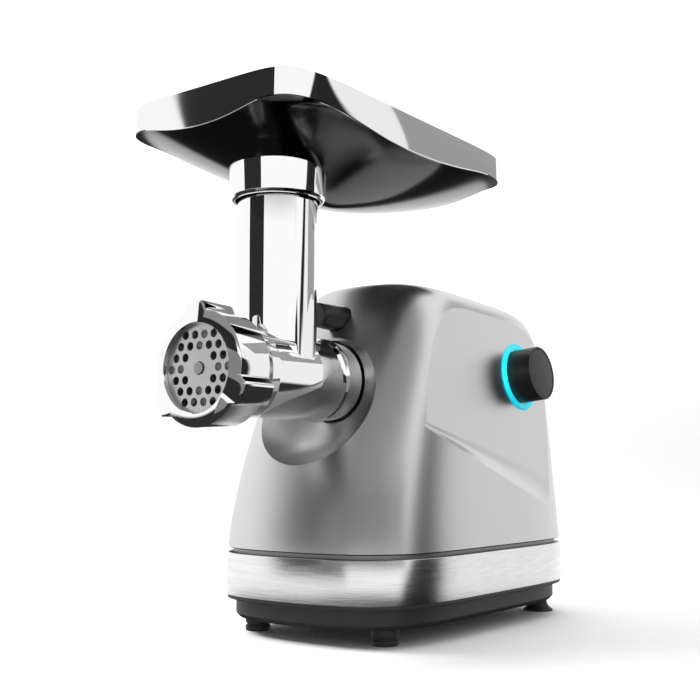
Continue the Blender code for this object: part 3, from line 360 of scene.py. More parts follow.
def lit(colour):
    """A look for the lamp: bright in its middle, weaker in slow patches."""

    def look(shader):
        slow = shader.noise(shader.place(), 40.0, 2.0)
        height = shader.split(shader.place(), 2)
        low, high = (KNOB_CENTRE.z + side * LAMP_OUTER * 1.1 for side in (-1, 1))
        middle = KNOB_CENTRE.z * MM
        glow = height.step(low * MM, middle) * height.step(middle, high * MM, 1.0, 0.35)
        return {
            "Base Color": shader.blend(slow, grey((0.0, 0.22, 0.28)), grey((0.0, 0.3, 0.36))),
            "Roughness": 0.25 + 0.1 * slow,
            "Emission Color": shader.blend(glow, grey((0.0, 0.35, 0.45)), grey(colour)),
        }

    return look


def paper(shader):
    """The sweep: white paper, lit up behind the grinder so that it meets the floor without a line."""
    place = shader.place()
    slow = shader.noise(place, 3.0, 2.0)
    glow = shader.split(place, 2).step(0.0, 1.2, 0.0, 0.62)
    return {
        "Base Color": shader.blend(slow, grey(0.90), grey(0.93)),
        "Roughness": 0.6 + 0.1 * slow,
        "Emission Color": shader.node("ShaderNodeCombineXYZ", {}, {"X": glow, "Y": glow, "Z": glow}),
    }


def make_finishes():
    """One material for each finish, by name."""
    nylon, bronze = ((0.86, 0.84, 0.77), (0.76, 0.73, 0.64)), ((0.62, 0.43, 0.21), (0.45, 0.3, 0.14))
    copper, green = ((0.75, 0.35, 0.17), (0.5, 0.2, 0.09)), ((0.04, 0.24, 0.1), (0.02, 0.14, 0.06))
    plate = turned_marks(0.9, 0.7, 0.36, 0.0004, BARREL_PLACE)
    cap = turned_marks(0.05, 0.015, 0.24, 0.0003, KNOB_PLACE, 0.00006)
    metals = {
        "housing": ("satin_silver_paint", grained(0.76, 0.70, 0.32, 0.03, 2600.0, 0.0000012)),
        "band": ("brushed_band_steel", brushed(0.97, 0.76, 0.20, 60.0)),
        # reveal: the housing's metal in a dark grey, painted shade in the gap between band and housing
        "reveal": ("reveal_painted_shade", grained(0.34, 0.28, 0.4, 0.1, 1500.0, 0.00001)),
        "chrome": ("polished_chrome", grained(0.93, 0.90, 0.03, 0.01, 900.0, 0.0000001)),
        "tray": ("polished_tray_steel", grained(0.90, 0.87, 0.04, 0.01, 900.0, 0.0000001)),
        # hull: the tray steel in a much darker tone, painted shade and painted dark reflection on the tray's
        # underside
        "hull": ("tray_steel_painted_shade", grained(0.12, 0.09, 0.11, 0.03, 900.0, 0.0000004)),
        "plate": ("ground_plate_steel", plate),
        "cap": ("spun_dark_cap", cap),
        "steel": ("turned_steel", grained(0.55, 0.4, 0.34, 0.12, 700.0, 0.00001)),
        "cast": ("cast_aluminium", grained(0.6, 0.45, 0.5, 0.15, 500.0, 0.00008)),
        "bronze": ("sintered_bronze", grained(*bronze, 0.45, 0.1, 900.0, 0.00003)),
        "copper": ("enamelled_copper", grained(*copper, 0.3, 0.1, 300.0, 0.00005)),
        "lamination": ("laminated_steel", grained(0.3, 0.2, 0.45, 0.1, 800.0, 0.00003)),
    }
    others = {
        "pan": ("grained_black_plastic", grained(0.030, 0.018, 0.46, 0.12, 1800.0, 0.00003)),
        "rubber": ("black_rubber", grained(0.026, 0.014, 0.62, 0.15, 1200.0, 0.00003)),
        "knob": ("satin_black_knob", grained(0.012, 0.007, 0.36, 0.1, 2000.0, 0.00002)),
        "nylon": ("natural_nylon", grained(*nylon, 0.5, 0.1, 400.0, 0.00002)),
        "carbon": ("pressed_carbon", grained(0.05, 0.025, 0.6, 0.1, 900.0, 0.00002)),
        "board": ("solder_mask_green", grained(*green, 0.4, 0.1, 500.0, 0.00001)),
    }
    finishes = {finish: make_material(name, look, Metallic=1.0) for finish, (name, look) in metals.items()}
    finishes |= {finish: make_material(name, look) for finish, (name, look) in others.items()}
    finishes["lamp"] = make_material("cyan_lamp", lit(LAMP_COLOUR), Emission_Strength=1.0)
    return finishes


# ---------------------------------------------------------------- shapes


def make_piece(name, shape, finish, body=None, nodes=(), sharp=32.0):
    """A named piece from (points, faces) in millimetres. With a body, it rides there in the nodes' place."""
    points, faces = shape
    mesh = bpy.data.meshes.new(name)
    moved = np.asarray(points, float) * MM + (HOME.x, HOME.y, 0)
    mesh.from_pydata(moved.tolist(), [], faces)
    sides = bmesh.new()
    sides.from_mesh(mesh)
    bmesh.ops.remove_doubles(sides, verts=sides.verts, dist=1e-7)
    bmesh.ops.dissolve_degenerate(sides, edges=sides.edges, dist=1e-8)
    bmesh.ops.recalc_face_normals(sides, faces=sides.faces)
    sides.to_mesh(mesh)
    sides.free()
    piece = add(name, mesh)
    mesh.materials.append(finish)
    smooth(mesh, sharp)
    if body:
        settle(piece, body, nodes)
    return piece


def settle(piece, body, nodes):
    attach(piece, body)
    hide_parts(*nodes)


def smooth(mesh, sharp):
    mesh.shade_smooth()
    mesh.set_sharp_from_angle(angle=math.radians(sharp))


def cut(piece, shape, operation="DIFFERENCE", sharp=32.0, solver="MANIFOLD", mark=False):
    """Cuts a shape out of a piece, or joins it on. A marked cut's faces get a material of their own."""
    finish = piece.data.materials[0]
    if mark:
        finish = finish.copy()
    tool = make_piece("tool", shape, finish)
    step = piece.modifiers.new("cut", "BOOLEAN")
    step.material_mode = "TRANSFER"
    step.object = tool
    step.operation = operation
    step.solver = solver
    keep_modifiers(piece)
    bpy.data.objects.remove(tool, do_unlink=True)
    smooth(piece.data, sharp)


def keep_modifiers(piece):
    """Makes the result of a piece's modifiers its own mesh."""
    graph = bpy.context.evaluated_depsgraph_get()
    result = bpy.data.meshes.new_from_object(piece.evaluated_get(graph))
    piece.modifiers.clear()
    old = piece.data
    piece.data = result
    result.name = old.name
    bpy.data.meshes.remove(old)


POINT = 0.01  # radius of an outline's end on its axis
NEARLY_STRAIGHT = 0.02  # radians
MOST_OF_A_SIDE = 0.48
CORNER_CROWD, ROOF_CROWD = 0.1, 0.06
RUN_RADIUS = 0.12  # metres of U for each radian round the band


def loft(rings, closed=False):
    """Quads between rings of equal count, capped at both ends unless closed."""
    count = len(rings[0])
    points = [tuple(point) for ring in rings for point in ring]
    faces = []
    for low in range(len(rings) if closed else len(rings) - 1):
        high = (low + 1) % len(rings)
        for i in range(count):
            j = (i + 1) % count
            faces.append((low * count + i, low * count + j, high * count + j, high * count + i))
    if not closed:
        last = (len(rings) - 1) * count
        faces += [tuple(reversed(range(count))), tuple(range(last, last + count))]
    return points, faces


def several(shapes):
    points, faces = [], []
    for more_points, more_faces in shapes:
        faces += [tuple(len(points) + i for i in face) for face in more_faces]
        points += list(more_points)
    return points, faces


def placed(shape, place):
    points, faces = shape
    return [tuple(place @ Vector(point)) for point in points], faces


def rounded(outline, radius, closed=False, steps=5):
    """A polyline with an arc at each corner. radius is one number or one for each point."""
    count = len(outline)
    radii = [radius] * count if isinstance(radius, (int, float)) else list(radius)
    made = []
    for i, corner in enumerate(outline):
        if not closed and i in (0, count - 1) or radii[i] <= 0:
            made.append(tuple(corner))
            continue
        corner = Vector(corner)
        before = Vector(outline[i - 1]) - corner
        after = Vector(outline[(i + 1) % count]) - corner
        angle = before.angle(after)
        if angle > math.pi - NEARLY_STRAIGHT:
            made.append(tuple(corner))
            continue
        longest = min(before.length * MOST_OF_A_SIDE, after.length * MOST_OF_A_SIDE)
        reach = min(radii[i] / math.tan(angle / 2), longest)
        start, end = corner + before.normalized() * reach, corner + after.normalized() * reach
        for step in range(steps + 1):
            part = step / steps
            spot = start * (1 - part) ** 2 + corner * 2 * part * (1 - part) + end * part**2
            made.append(tuple(spot))
    return made


def eased(part):
    """A share held between 0 and 1, starting and ending gently."""
    part = min(max(part, 0), 1)
    return part * part * (3 - 2 * part)


def polar(radius, angle):
    return radius * math.cos(angle), radius * math.sin(angle)


def circle(radius, count):
    return [polar(radius, 2 * math.pi * i / count) for i in range(count)]


def level(outline, z):
    return [(x, y, z) for x, y in outline]


def turned(profile, count=96, closed=False):
    """A profile of (radius, height) turned about Z."""
    return loft([level(circle(radius, count), z) for radius, z in profile], closed)


def ellipse_power(angle, power):
    """A point on the unit superellipse in the direction of an angle, with more points near its corners."""
    angle = angle + CORNER_CROWD * math.sin(4 * angle)
    x, y = math.cos(angle), math.sin(angle)
    reach = (abs(x) ** power + abs(y) ** power) ** (-1 / power)
    return x * reach, y * reach


def squircle(half_x, front, rear, power, count, bow=0.0):
    middle, half_y = (front + rear) / 2, (rear - front) / 2
    outline = []
    for i in range(count):
        x, y = ellipse_power(2 * math.pi * i / count, power)
        outline.append((half_x * x, middle + half_y * y + bow * x * x * max(-y, 0)))
    return outline


def plan(inset, count=240):
    """The base's outline, drawn in by inset."""
    return squircle(BASE_HALF - inset, BASE_FRONT + inset, BASE_REAR - inset, PLAN_POWER, count, FRONT_BOW)


def with_run(piece, low, high):
    """UV coordinates in metres: U along the piece's outline, V up."""
    mesh = piece.data
    layer = mesh.uv_layers.new(name="UVMap")
    middle = Vector((0, (low.y + high.y) / 2 * MM + HOME.y, 0))
    for face in mesh.polygons:
        centre = face.center - middle
        turn = math.atan2(centre.y, centre.x)
        for corner in face.loop_indices:
            spot = mesh.vertices[mesh.loops[corner].vertex_index].co
            own = math.atan2(spot.y - middle.y, spot.x)
            own += round((turn - own) / (2 * math.pi)) * 2 * math.pi
            layer.data[corner].uv = (own * RUN_RADIUS, spot.z)


# ---------------------------------------------------------------- casing


def facet_x(z):
    return FACET_X - FACET_LEAN * (z - FACET_Z)


def section(part, close):
    """Half width, front and rear of the plain body at a share of its height, drawn in by close."""
    half = (BASE_HALF - HOUSING_INSET - SIDE_LEAN * part) * close
    front = BASE_FRONT + HOUSING_INSET + FRONT_LEAN * max(part, 0) ** FRONT_CURVE
    rear = BASE_REAR - HOUSING_INSET - REAR_LEAN * part
    return half, CREST[0] + (front - CREST[0]) * close, CREST[1] + (rear - CREST[1]) * close


def body_x(y, z):
    """Half the plain body's width at a place on its side."""
    part = (z - HOUSING_BOTTOM) / HOUSING_HEIGHT
    close = max(1 - max(part, 0) ** TOP_POWER, 0) ** (1 / TOP_POWER)
    half, front, rear = section(part, close)
    along = min(abs(y - (front + rear) / 2) * 2 / (rear - front), 1)
    return half * (1 - along**PLAN_POWER) ** (1 / PLAN_POWER)


def facet_edge():
    """The facet's edge on the side, as (y, z): down its front, round the corner and back along the ledge."""
    corner_y, corner_z = FACET_CORNER
    fall = math.atan(FACET_FALL)
    bend = math.pi / 2 - fall
    radius = FACET_CORNER_RADIUS
    centre = (corner_y + radius, corner_z + radius * math.tan(bend / 2))
    front_steps, bend_steps = 20, 24
    edge = [(corner_y, centre[1] + FACET_RISE * (1 - i / front_steps)) for i in range(front_steps)]
    for i in range(bend_steps + 1):
        angle = math.pi + bend * i / bend_steps
        edge.append((centre[0] + radius * math.cos(angle), centre[1] + radius * math.sin(angle)))
    start = Vector(edge[-1])
    way = Vector((math.cos(fall), -math.sin(fall))) * (FACET_RUN / FACET_STEPS)
    return edge + [tuple(start + way * i) for i in range(1, FACET_STEPS + 1)]


def facet_shape():
    """The solid outside the facet: flat inside, with a ledge that rises to the body's surface at the edge."""
    edge = [Vector(point) for point in facet_edge()]
    steps, far_x = 16, BASE_HALF + CLEAR_OF_BODY
    ledge_top, full_hollow = FACET_CORNER[1] + 12, 3.0
    rings = [[] for _ in range(steps + 3)]
    for i, spot in enumerate(edge):
        way = (edge[min(i + 1, len(edge) - 1)] - edge[max(i - 1, 0)]).normalized()
        inward = Vector((-way.y, way.x))
        width = LEDGE_NARROW + (spot.x - LEDGE_START_Y) * LEDGE_GROWTH
        width = min(max(width, LEDGE_NARROW), LEDGE_WIDE)
        flat = facet_x(spot.y)
        rise = max(body_x(spot.x, spot.y) - flat, 0) if spot.y < ledge_top else 0
        slope = 2 * rise / width + FACET_LEAN * inward.y
        outside = spot - inward * LEDGE_MARGIN
        rings[0].append((far_x, outside.x, outside.y))
        rings[1].append((flat + rise + slope * LEDGE_MARGIN, outside.x, outside.y))
        for k in range(steps + 1):
            part = k / steps
            here = spot + inward * width * part
            hollow = FACET_HOLLOW * math.sin(math.pi * part) ** 2 * min(rise / full_hollow, 1)
            rings[k + 2].append((facet_x(here.y) - hollow + rise * (1 - part) ** 2, here.x, here.y))
    high = edge[0].y
    for k, ring in enumerate(rings):
        ring.append((far_x if k == 0 else facet_x(high), edge[-1].x, high))
    return loft(rings)


def dish_shape():
    """The dish's hollow as a solid turned about the barrel's axis."""
    start, steps = DISH_BACK - DISH_DEPTH, 64
    turns = [math.pi / 2 * i / steps for i in range(steps + 1)]
    profile = [(DISH_RADIUS, start - CLEAR_OF_BODY)]
    for turn in turns:
        across, along = math.cos(turn), math.sin(turn)
        reach = (across**DISH_POWER + along**DISH_POWER) ** (-1 / DISH_POWER)
        profile.append((max(DISH_RADIUS * across * reach, POINT), start + DISH_DEPTH * along * reach))
    return placed(turned(profile, 240), BARREL_PLACE)


def housing_grid(angles, wall_rows, roof_rows):
    """Points on the plain body, a ring for each row. The last ring is the closed crest."""
    turns = np.linspace(0, math.pi / 4, wall_rows, endpoint=False)
    turns = np.concatenate([turns, np.linspace(math.pi / 4, math.pi / 2, roof_rows)])
    rows = []
    for turn in turns:
        spread = turn - ROOF_CROWD * math.sin(4 * turn) * (turn > math.pi / 4)
        across, up = math.cos(spread), math.sin(spread)
        reach = (across**TOP_POWER + up**TOP_POWER) ** (-1 / TOP_POWER)
        close, part = max(across * reach, 0.0), up * reach
        if turn == turns[-1]:
            close, part = 0.0, 1.0
        ring = squircle(*section(part, close), PLAN_POWER, angles, FRONT_BOW * close)
        z = HOUSING_BOTTOM + part * HOUSING_HEIGHT
        rows.append([(x, y, z - TOP_SLOPE * (y - CREST[0]) * part**2) for x, y in ring])
    return rows


def make_housing(finishes):
    """The silver body, with its dish, its facet and the holes for neck, button and lamp cut out of it."""
    rows = housing_grid(360, 100, 56)
    foot = [(x * FOOT_TUCK, y * FOOT_TUCK + FOOT_LIP, HOUSING_BOTTOM) for x, y, _ in rows[0]]
    lip = [(x, y, HOUSING_BOTTOM + FOOT_LIP) for x, y, _ in rows[0]]
    points, faces = loft([foot, lip] + rows[1:])
    faces.pop()
    housing = make_piece("housing", (points, faces), finishes["housing"], sharp=60)

    def drill(radius, low, high, place, count=128):
        cut(housing, placed(turned([(radius, low), (radius, high)], count), place), mark=True)

    cut(housing, dish_shape(), mark=True)
    cut(housing, facet_shape(), mark=True)
    drill(NECK_HOLE, HOLE_FRONT, HOLE_REAR, BARREL_PLACE)
    drill(BUTTON_RADIUS + BUTTON_PLAY, HOLE_FRONT, HOLE_REAR, BUTTON_PLACE, 64)
    drill(LAMP_OUTER + LAMP_PLAY, LAMP_SEAT, KNOB_HEIGHT, KNOB_PLACE)
    keep_cut_edges(housing, 40)
    settle(housing, "base", ["housing_shell"])


def keep_cut_edges(piece, sharp):
    """Makes the border of each cut sharp and blends the rest, then gives every face the first material."""
    mesh = piece.data
    smooth(mesh, sharp)
    sides = bmesh.new()
    sides.from_mesh(mesh)
    for edge in sides.edges:
        if len({face.material_index for face in edge.link_faces}) > 1:
            edge.smooth = False
    for face in sides.faces:
        face.material_index = 0
    sides.to_mesh(mesh)
    sides.free()
    while len(mesh.materials) > 1:
        mesh.materials.pop()
    even = piece.modifiers.new("even", "WEIGHTED_NORMAL")
    even.keep_sharp = True
    keep_modifiers(piece)


def make_reveal(finishes):
    """The step between band and housing, in a dark grey: painted shade in the gap."""
    outside, inside = 4.4, 7.0
    low, high = PAN_HIGH.z + 1, HOUSING_BOTTOM + 1.5
    profile = [(outside, low), (outside, high), (inside, high), (inside, low)]
    rings = [level(plan(inset), z) for inset, z in profile]
    shape = loft(rings, True)
    make_piece("reveal_step", shape, finishes["reveal"], "base", ["housing_shell"])


def make_band(finishes):
    low, high = BAND_LOW.z, BAND_HIGH.z
    wall = 1.2
    profile = rounded([(0.0, low), (0.0, high), (wall, high), (wall, low)], 0.35, True, 3)
    rings = [level(plan(inset), z) for inset, z in profile]
    band = make_piece("band", loft(rings, True), finishes["band"], "base", ["trim_band"], 60)
    with_run(band, BAND_LOW, BAND_HIGH)


def make_pan(finishes):
    """The black tub under the band, with its outer lip and the slots in its floor."""
    low, high = PAN_LOW.z, PAN_HIGH.z
    floor = low + PAN_FLOOR
    profile = [(FLOOR_EDGE, low), (8.5, low), (6.0, low + 3), (6.0, high - 3.2), (0.8, high - 3.0),
               (0.8, high), (4.7, high), (8.5, high - 2.5), (8.5, floor), (FLOOR_EDGE, floor)]
    radii = [0, 2.5, 2.0, 0.8, 0.7, 0.5, 0.4, 0.5, 1.0, 0]
    rings = [level(plan(inset), z) for inset, z in rounded(profile, radii, False, 4)]
    pan = make_piece("base_tub", loft(rings, True), finishes["pan"])
    inner = plan(FLOOR_EDGE - 0.1)
    cut(pan, loft([level(inner, low), level(inner, floor)]), "UNION", solver="EXACT")
    first, pitch, width, half = 60, 12, 4, 30
    starts = [first + pitch * i for i in range(4)]
    slots = [box((-half, start, low - 1), (half, start + width, low + 4)) for start in starts]
    cut(pan, several(slots), solver="EXACT")
    settle(pan, "base", ["base_pan"])


def box(low, high):
    (x0, y0, z0), (x1, y1, z1) = low, high
    return loft([level([(x0, y0), (x1, y0), (x1, y1), (x0, y1)], z) for z in (z0, z1)])


def make_feet(finishes):
    for end in ("front", "rear"):
        for side in ("left", "right"):
            node = f"{end}_foot_{side}"
            low, high = span(node)
            centre = (low + high) / 2
            top = high.z
            if end == "front":
                profile = [(POINT, 0), (9, 0), (9, 3.6), (8, 4.2), (8, 5.2), (9, 5.8), (9, top), (POINT, top)]
                outline = rounded(profile, [0, 1.2, 0.4, 0.3, 0.3, 0.4, 0.3, 0], False, 4)
            else:
                profile = [(POINT, 1.2), (9, 0.8), (12, 0), (12, 1.2), (8.4, 4.0), (7.2, 7.0), (7, top),
                           (POINT, top)]
                outline = rounded(profile, [0, 2, 0.3, 0.5, 4.0, 3.0, 0.3, 0], False, 5)
            shape = placed(turned(outline, 64), Matrix.Translation((centre.x, centre.y, 0)))
            make_piece(f"{end}_pad_{side}", shape, finishes["rubber"], "base", [node])


# ---------------------------------------------------------------- grinding head


def make_head(finishes):
    """Barrel, feed tube and bayonet in one polished casting."""
    start, shoulder = OUTLET_Y + 4, PLATE_HIGH.y + 8
    profile = [(MOUTH_RADIUS, start), (MOUTH_RADIUS, RING_END + 2.5), (BARREL_RADIUS + 1.6, RING_END + 9),
               (BARREL_RADIUS, RING_END + 19), (BARREL_RADIUS - 0.4, TUBE_Y + 15), (27.4, NECK_Y - 16),
               (27.0, NECK_Y - 8), (28.0, NECK_Y - 4.2), (29.6, NECK_Y - 3.2), (29.6, NECK_Y - 1.2),
               (28.4, NECK_Y - 0.6), (28.4, JOURNAL_END)]
    radii = [0.3, 1.5, 6, 14, 20, 12, 6, 1.0, 0.7, 0.7, 0.4, 0.3]
    seat = PLATE_RADIUS + 0.3
    inside = [(BARREL_BORE, JOURNAL_END), (BARREL_BORE, shoulder), (seat, shoulder), (seat, start)]
    outline = rounded(profile, radii, False, 6) + inside
    head = make_piece("head_casting", placed(turned(outline, 160, True), BARREL_PLACE), finishes["chrome"])
    top, bore = HEAD_TOP, TUBE_RADIUS - TUBE_WALL
    tube = [(TUBE_RADIUS - 0.6, BARREL_Z), (TUBE_RADIUS, top), (TUBE_RADIUS - 2.4, top)]
    tube = [(POINT, BARREL_Z), *rounded(tube, 0.5, False, 3), (POINT, top)]
    lugs = [bayonet_lug(math.radians(90 + 120 * i)) for i in range(3)]
    gap = PLATE_RADIUS + 0.8
    steps = [
        ("UNION", placed(turned(tube, 160), TUBE_PLACE)),
        ("UNION", side_rib(-1)),
        ("UNION", side_rib(1)),
        ("DIFFERENCE", placed(turned([(bore, BARREL_Z), (bore, top + 1)], 128), TUBE_PLACE)),
        ("UNION", placed(several(lugs), BARREL_PLACE)),
        ("DIFFERENCE", placed(turned([(gap, start - 2), (gap, PLATE_HIGH.y + 0.3)], 128), BARREL_PLACE)),
    ]
    for operation, shape in steps:
        cut(head, shape, operation, 30)
    settle(head, "head", ["head_body"])


def side_rib(side):
    """The low rib along the barrel's side, narrowing into the back of the tube."""
    foot, inner = BARREL_Z + RIB_Z, 10
    widths = {RING_END - 1: 26.5, TUBE_Y - 10: 25.5, TUBE_Y + 16: 24.0, TUBE_Y + 27: 18.0}
    rings = []
    for y, width in widths.items():
        corners = [(inner, 0), (width, 0), (width - 0.6, RIB_HEIGHT), (inner, RIB_HEIGHT)]
        rings.append([(side * x, y, foot + z) for x, z in corners])
    return loft(rings)


def bayonet_lug(middle):
    steps = [middle + math.radians(BAYONET_WIDTH) * (i / 6 - 0.5) for i in range(7)]
    outline = [polar(BAYONET_OUTER, a) for a in steps] + [polar(BAYONET_INNER, a) for a in reversed(steps)]
    return loft([level(outline, -2.5), level(outline, 1.0)])


def ring_outline(inset, count=360):
    """The locking ring's outside with its three lugs."""
    outline = []
    for i in range(count):
        angle = 2 * math.pi * i / count
        turn = (math.degrees(angle) + LUG_TURN) % 120
        away = min(turn, 120 - turn)
        radius = RING_RADIUS + RING_LUG * eased((LUG_HALF - away) / LUG_BLEND) - inset
        outline.append(polar(radius, angle))
    return outline


def make_ring(finishes):
    """The screw ring, with three lugs to grip and a lip that holds the plate."""
    count = 360
    front, rear = OUTLET_Y, RING_END
    outer = [(1.6, front + 0.9), (0.0, front + 2.0), (0.8, rear), (3.0, rear)]
    outer = rounded(outer, [0, 0.5, 0.7, 0], False, 4)
    rings = [level(ring_outline(inset, count), y) for inset, y in outer]
    face = front + RING_FACE
    inner = [(RING_BORE, rear), (RING_BORE, face), (RING_MOUTH, face), (RING_MOUTH, front + 0.5),
             (RING_MOUTH + 0.5, front)]
    rings += [level(circle(radius, count), y) for radius, y in inner]
    shape = placed(loft(rings, True), BARREL_PLACE)
    make_piece("locking_ring", shape, finishes["chrome"], "ring", ["screw_ring"], 28)


HOLE_DEPTH = 1.6  # a hole's cutter is this many times as deep as the plate


def plate_tree(finish):
    """Geometry Nodes: a disc with a hole at each point of the given mesh."""
    tree = bpy.data.node_groups.new("perforated_disc", "GeometryNodeTree")
    tree.interface.new_socket("Geometry", in_out="INPUT", socket_type="NodeSocketGeometry")
    sizes = {}
    for name in ("Disc Radius", "Thickness", "Hole Radius", "Centre Radius"):
        size = tree.interface.new_socket(name, in_out="INPUT", socket_type="NodeSocketFloat")
        sizes[name] = size.identifier
    tree.interface.new_socket("Geometry", in_out="OUTPUT", socket_type="NodeSocketGeometry")
    nodes, links = tree.nodes, tree.links
    given, result = nodes.new("NodeGroupInput"), nodes.new("NodeGroupOutput")

    def drum(radius, depth, sides):
        made = nodes.new("GeometryNodeMeshCylinder")
        made.inputs["Vertices"].default_value = sides
        links.new(radius, made.inputs["Radius"])
        links.new(depth, made.inputs["Depth"])
        return made.outputs["Mesh"]

    deep = nodes.new("ShaderNodeMath")
    deep.operation = "MULTIPLY"
    links.new(given.outputs["Thickness"], deep.inputs[0])
    deep.inputs[1].default_value = HOLE_DEPTH
    disc = drum(given.outputs["Disc Radius"], given.outputs["Thickness"], 160)
    hole = drum(given.outputs["Hole Radius"], deep.outputs[0], 28)
    centre = drum(given.outputs["Centre Radius"], deep.outputs[0], 48)
    holes = nodes.new("GeometryNodeInstanceOnPoints")
    links.new(given.outputs["Geometry"], holes.inputs["Points"])
    links.new(hole, holes.inputs["Instance"])
    real = nodes.new("GeometryNodeRealizeInstances")
    links.new(holes.outputs["Instances"], real.inputs["Geometry"])
    gap = nodes.new("GeometryNodeMeshBoolean")
    gap.operation = "DIFFERENCE"
    gap.solver = "EXACT"
    links.new(disc, gap.inputs["Mesh 1"])
    links.new(real.outputs["Geometry"], gap.inputs["Mesh 2"])
    links.new(centre, gap.inputs["Mesh 2"])
    finished = nodes.new("GeometryNodeRealizeInstances")
    links.new(gap.outputs["Mesh"], finished.inputs["Geometry"])
    painted = nodes.new("GeometryNodeSetMaterial")
    painted.inputs["Material"].default_value = finish
    links.new(finished.outputs["Geometry"], painted.inputs["Geometry"])
    links.new(painted.outputs["Geometry"], result.inputs["Geometry"])
    return tree, sizes


def make_plate(finishes):
    """The perforated plate, with two rings of holes round its centre."""
    places = []
    for a in range(-3, 4):
        for b in range(-3, 4):
            if max(abs(a), abs(b), abs(a + b)) in (2, 3):
                places.append((PLATE_PITCH * (a + b / 2) * MM, PLATE_PITCH * b * math.sqrt(3) / 2 * MM, 0))
    points = bpy.data.meshes.new("cutting_plate")
    points.from_pydata(places, [], [])
    plate = add("cutting_plate", points)
    tree, sizes = plate_tree(finishes["plate"])
    thickness = PLATE_HIGH.y - PLATE_LOW.y
    step = plate.modifiers.new("perforate", "NODES")
    step.node_group = tree
    values = {"Disc Radius": PLATE_RADIUS, "Thickness": thickness, "Hole Radius": PLATE_HOLE / 2,
              "Centre Radius": PLATE_CENTRE}
    for name, value in values.items():
        step[sizes[name]] = value * MM
    keep_modifiers(plate)
    middle = (PLATE_LOW.y + PLATE_HIGH.y) / 2
    plate.data.transform(Matrix.Translation((HOME.x, HOME.y + middle * MM, HOME.z)) @ TO_REAR)
    smooth(plate.data, 30)
    settle(plate, "head", ["perforated_plate"])


def make_auger(finishes):
    """The feed screw: pin, knife square, flight, journal and driving end."""
    low, high = span("auger")
    knife = span("cross_knife")[1].y
    start, end, shoulder = knife + 1.3, -32.0, -2.2
    count, steps = 48, 40 * FLIGHT_TURNS
    pin, square, journal, square_front = 3.7, 5.4, 6.2, knife - 7.6
    flight_half, flight_blend = 0.62, 0.3  # radians
    plain = [(pin, low.y), (pin, square_front), (square, square_front), (square, knife),
             (SHAFT_RADIUS, knife)]
    rings = [level(circle(radius, count), y) for radius, y in plain]
    for i in range(steps + 1):
        turn = -2 * math.pi * FLIGHT_TURNS * i / steps
        ring = []
        for j in range(count):
            angle = 2 * math.pi * j / count
            away = abs((angle + math.pi) % (2 * math.pi) - math.pi)
            radius = SHAFT_RADIUS + FLIGHT_RISE * eased((flight_half - away) / flight_blend)
            ring.append(polar(radius, angle + turn))
        rings.append(level(ring, start + (end - start) * i / steps))
    plain = [(SHAFT_RADIUS, end + 1), (SHAFT_RADIUS, shoulder), (journal, shoulder), (journal, high.y)]
    rings += [level(circle(radius, count), y) for radius, y in plain]
    shape = placed(loft(rings), BARREL_PLACE)
    make_piece("feed_screw", shape, finishes["steel"], "drive", ["auger"], 40)


# ---------------------------------------------------------------- tray


def hull_z(x, y):
    """Height of the tray's underside: it rises from the tube and turns into the rim's lower edge."""
    middle, half = (TRAY_LOW.y + TRAY_HIGH.y) / 2, (TRAY_HIGH.y - TRAY_LOW.y) / 2
    out = (x / TRAY_HIGH.x) ** 2 + ((y - middle) / half) ** 2
    rise = TRAY_HIGH.z - BAND_OF_TRAY - TRAY_FLOOR
    edge = TRAY_HIGH.z - BAND_AT_CORNERS
    full = TRAY_FLOOR + rise * out**HULL_POWER
    if full <= edge - 8:
        return full
    return edge - math.log(1 + math.exp((edge - full) * HULL_BLEND)) / HULL_BLEND


def tray_outline(inset, count=320):
    return squircle(TRAY_HIGH.x - inset, TRAY_LOW.y + inset, TRAY_HIGH.y - inset, TRAY_POWER, count)


def make_tray(finishes):
    """The flared pan with its upright rim and the spigot that drops into the tube. Its downward hull faces
    get a darker copy of the tray steel: painted shade and painted dark reflection.
    """
    outer, inner = tray_outline(0), tray_outline(TRAY_WALL)
    spigot = TUBE_RADIUS - TUBE_WALL - SPIGOT_PLAY

    def chute(radius):
        ring = []
        for x, y in outer:
            share = radius / math.hypot(x, y - TUBE_Y)
            ring.append((share * x, TUBE_Y + share * (y - TUBE_Y)))
        return ring

    def between(start, end, part, lift):
        ring = [(a + (c - a) * part, b + (d - b) * part) for (a, b), (c, d) in zip(start, end)]
        return [(x, y, hull_z(x, y) + lift) for x, y in ring]

    out, hole = chute(spigot), chute(spigot - TRAY_WALL)
    steps = 40
    parts = [math.sin(math.pi / 2 * i / steps) for i in range(steps + 1)]
    low, top = TRAY_LOW.z, TRAY_HIGH.z
    rings = [level(out, low)] + [between(out, outer, part, 0) for part in parts[:-1]]
    for inset, lift in ((0.5, 0.0), (0.12, 0.3), (0.0, 0.9)):
        rings.append([(x, y, hull_z(x, y) + lift) for x, y in tray_outline(inset)])
    rings += [level(outer, top - 0.5), level(tray_outline(0.4), top), level(inner, top)]
    rings += [between(hole, inner, part, TRAY_WALL) for part in reversed(parts)]
    rings.append(level(hole, low))
    shape = loft(rings, True)
    tray = make_piece("tray_pan", shape, finishes["tray"], "tray", ["hopper_tray"], 35)
    tray.data.materials.append(finishes["hull"])
    # Downward faces under the tray take the darker steel: painted shade and painted dark reflection
    for face in tray.data.polygons:
        x, y, z = (face.center - Vector((HOME.x, HOME.y, 0))) / MM
        downward, outside = face.normal.z < -0.2, z < hull_z(x, y) + TRAY_WALL / 2
        face.material_index = int(downward and outside)


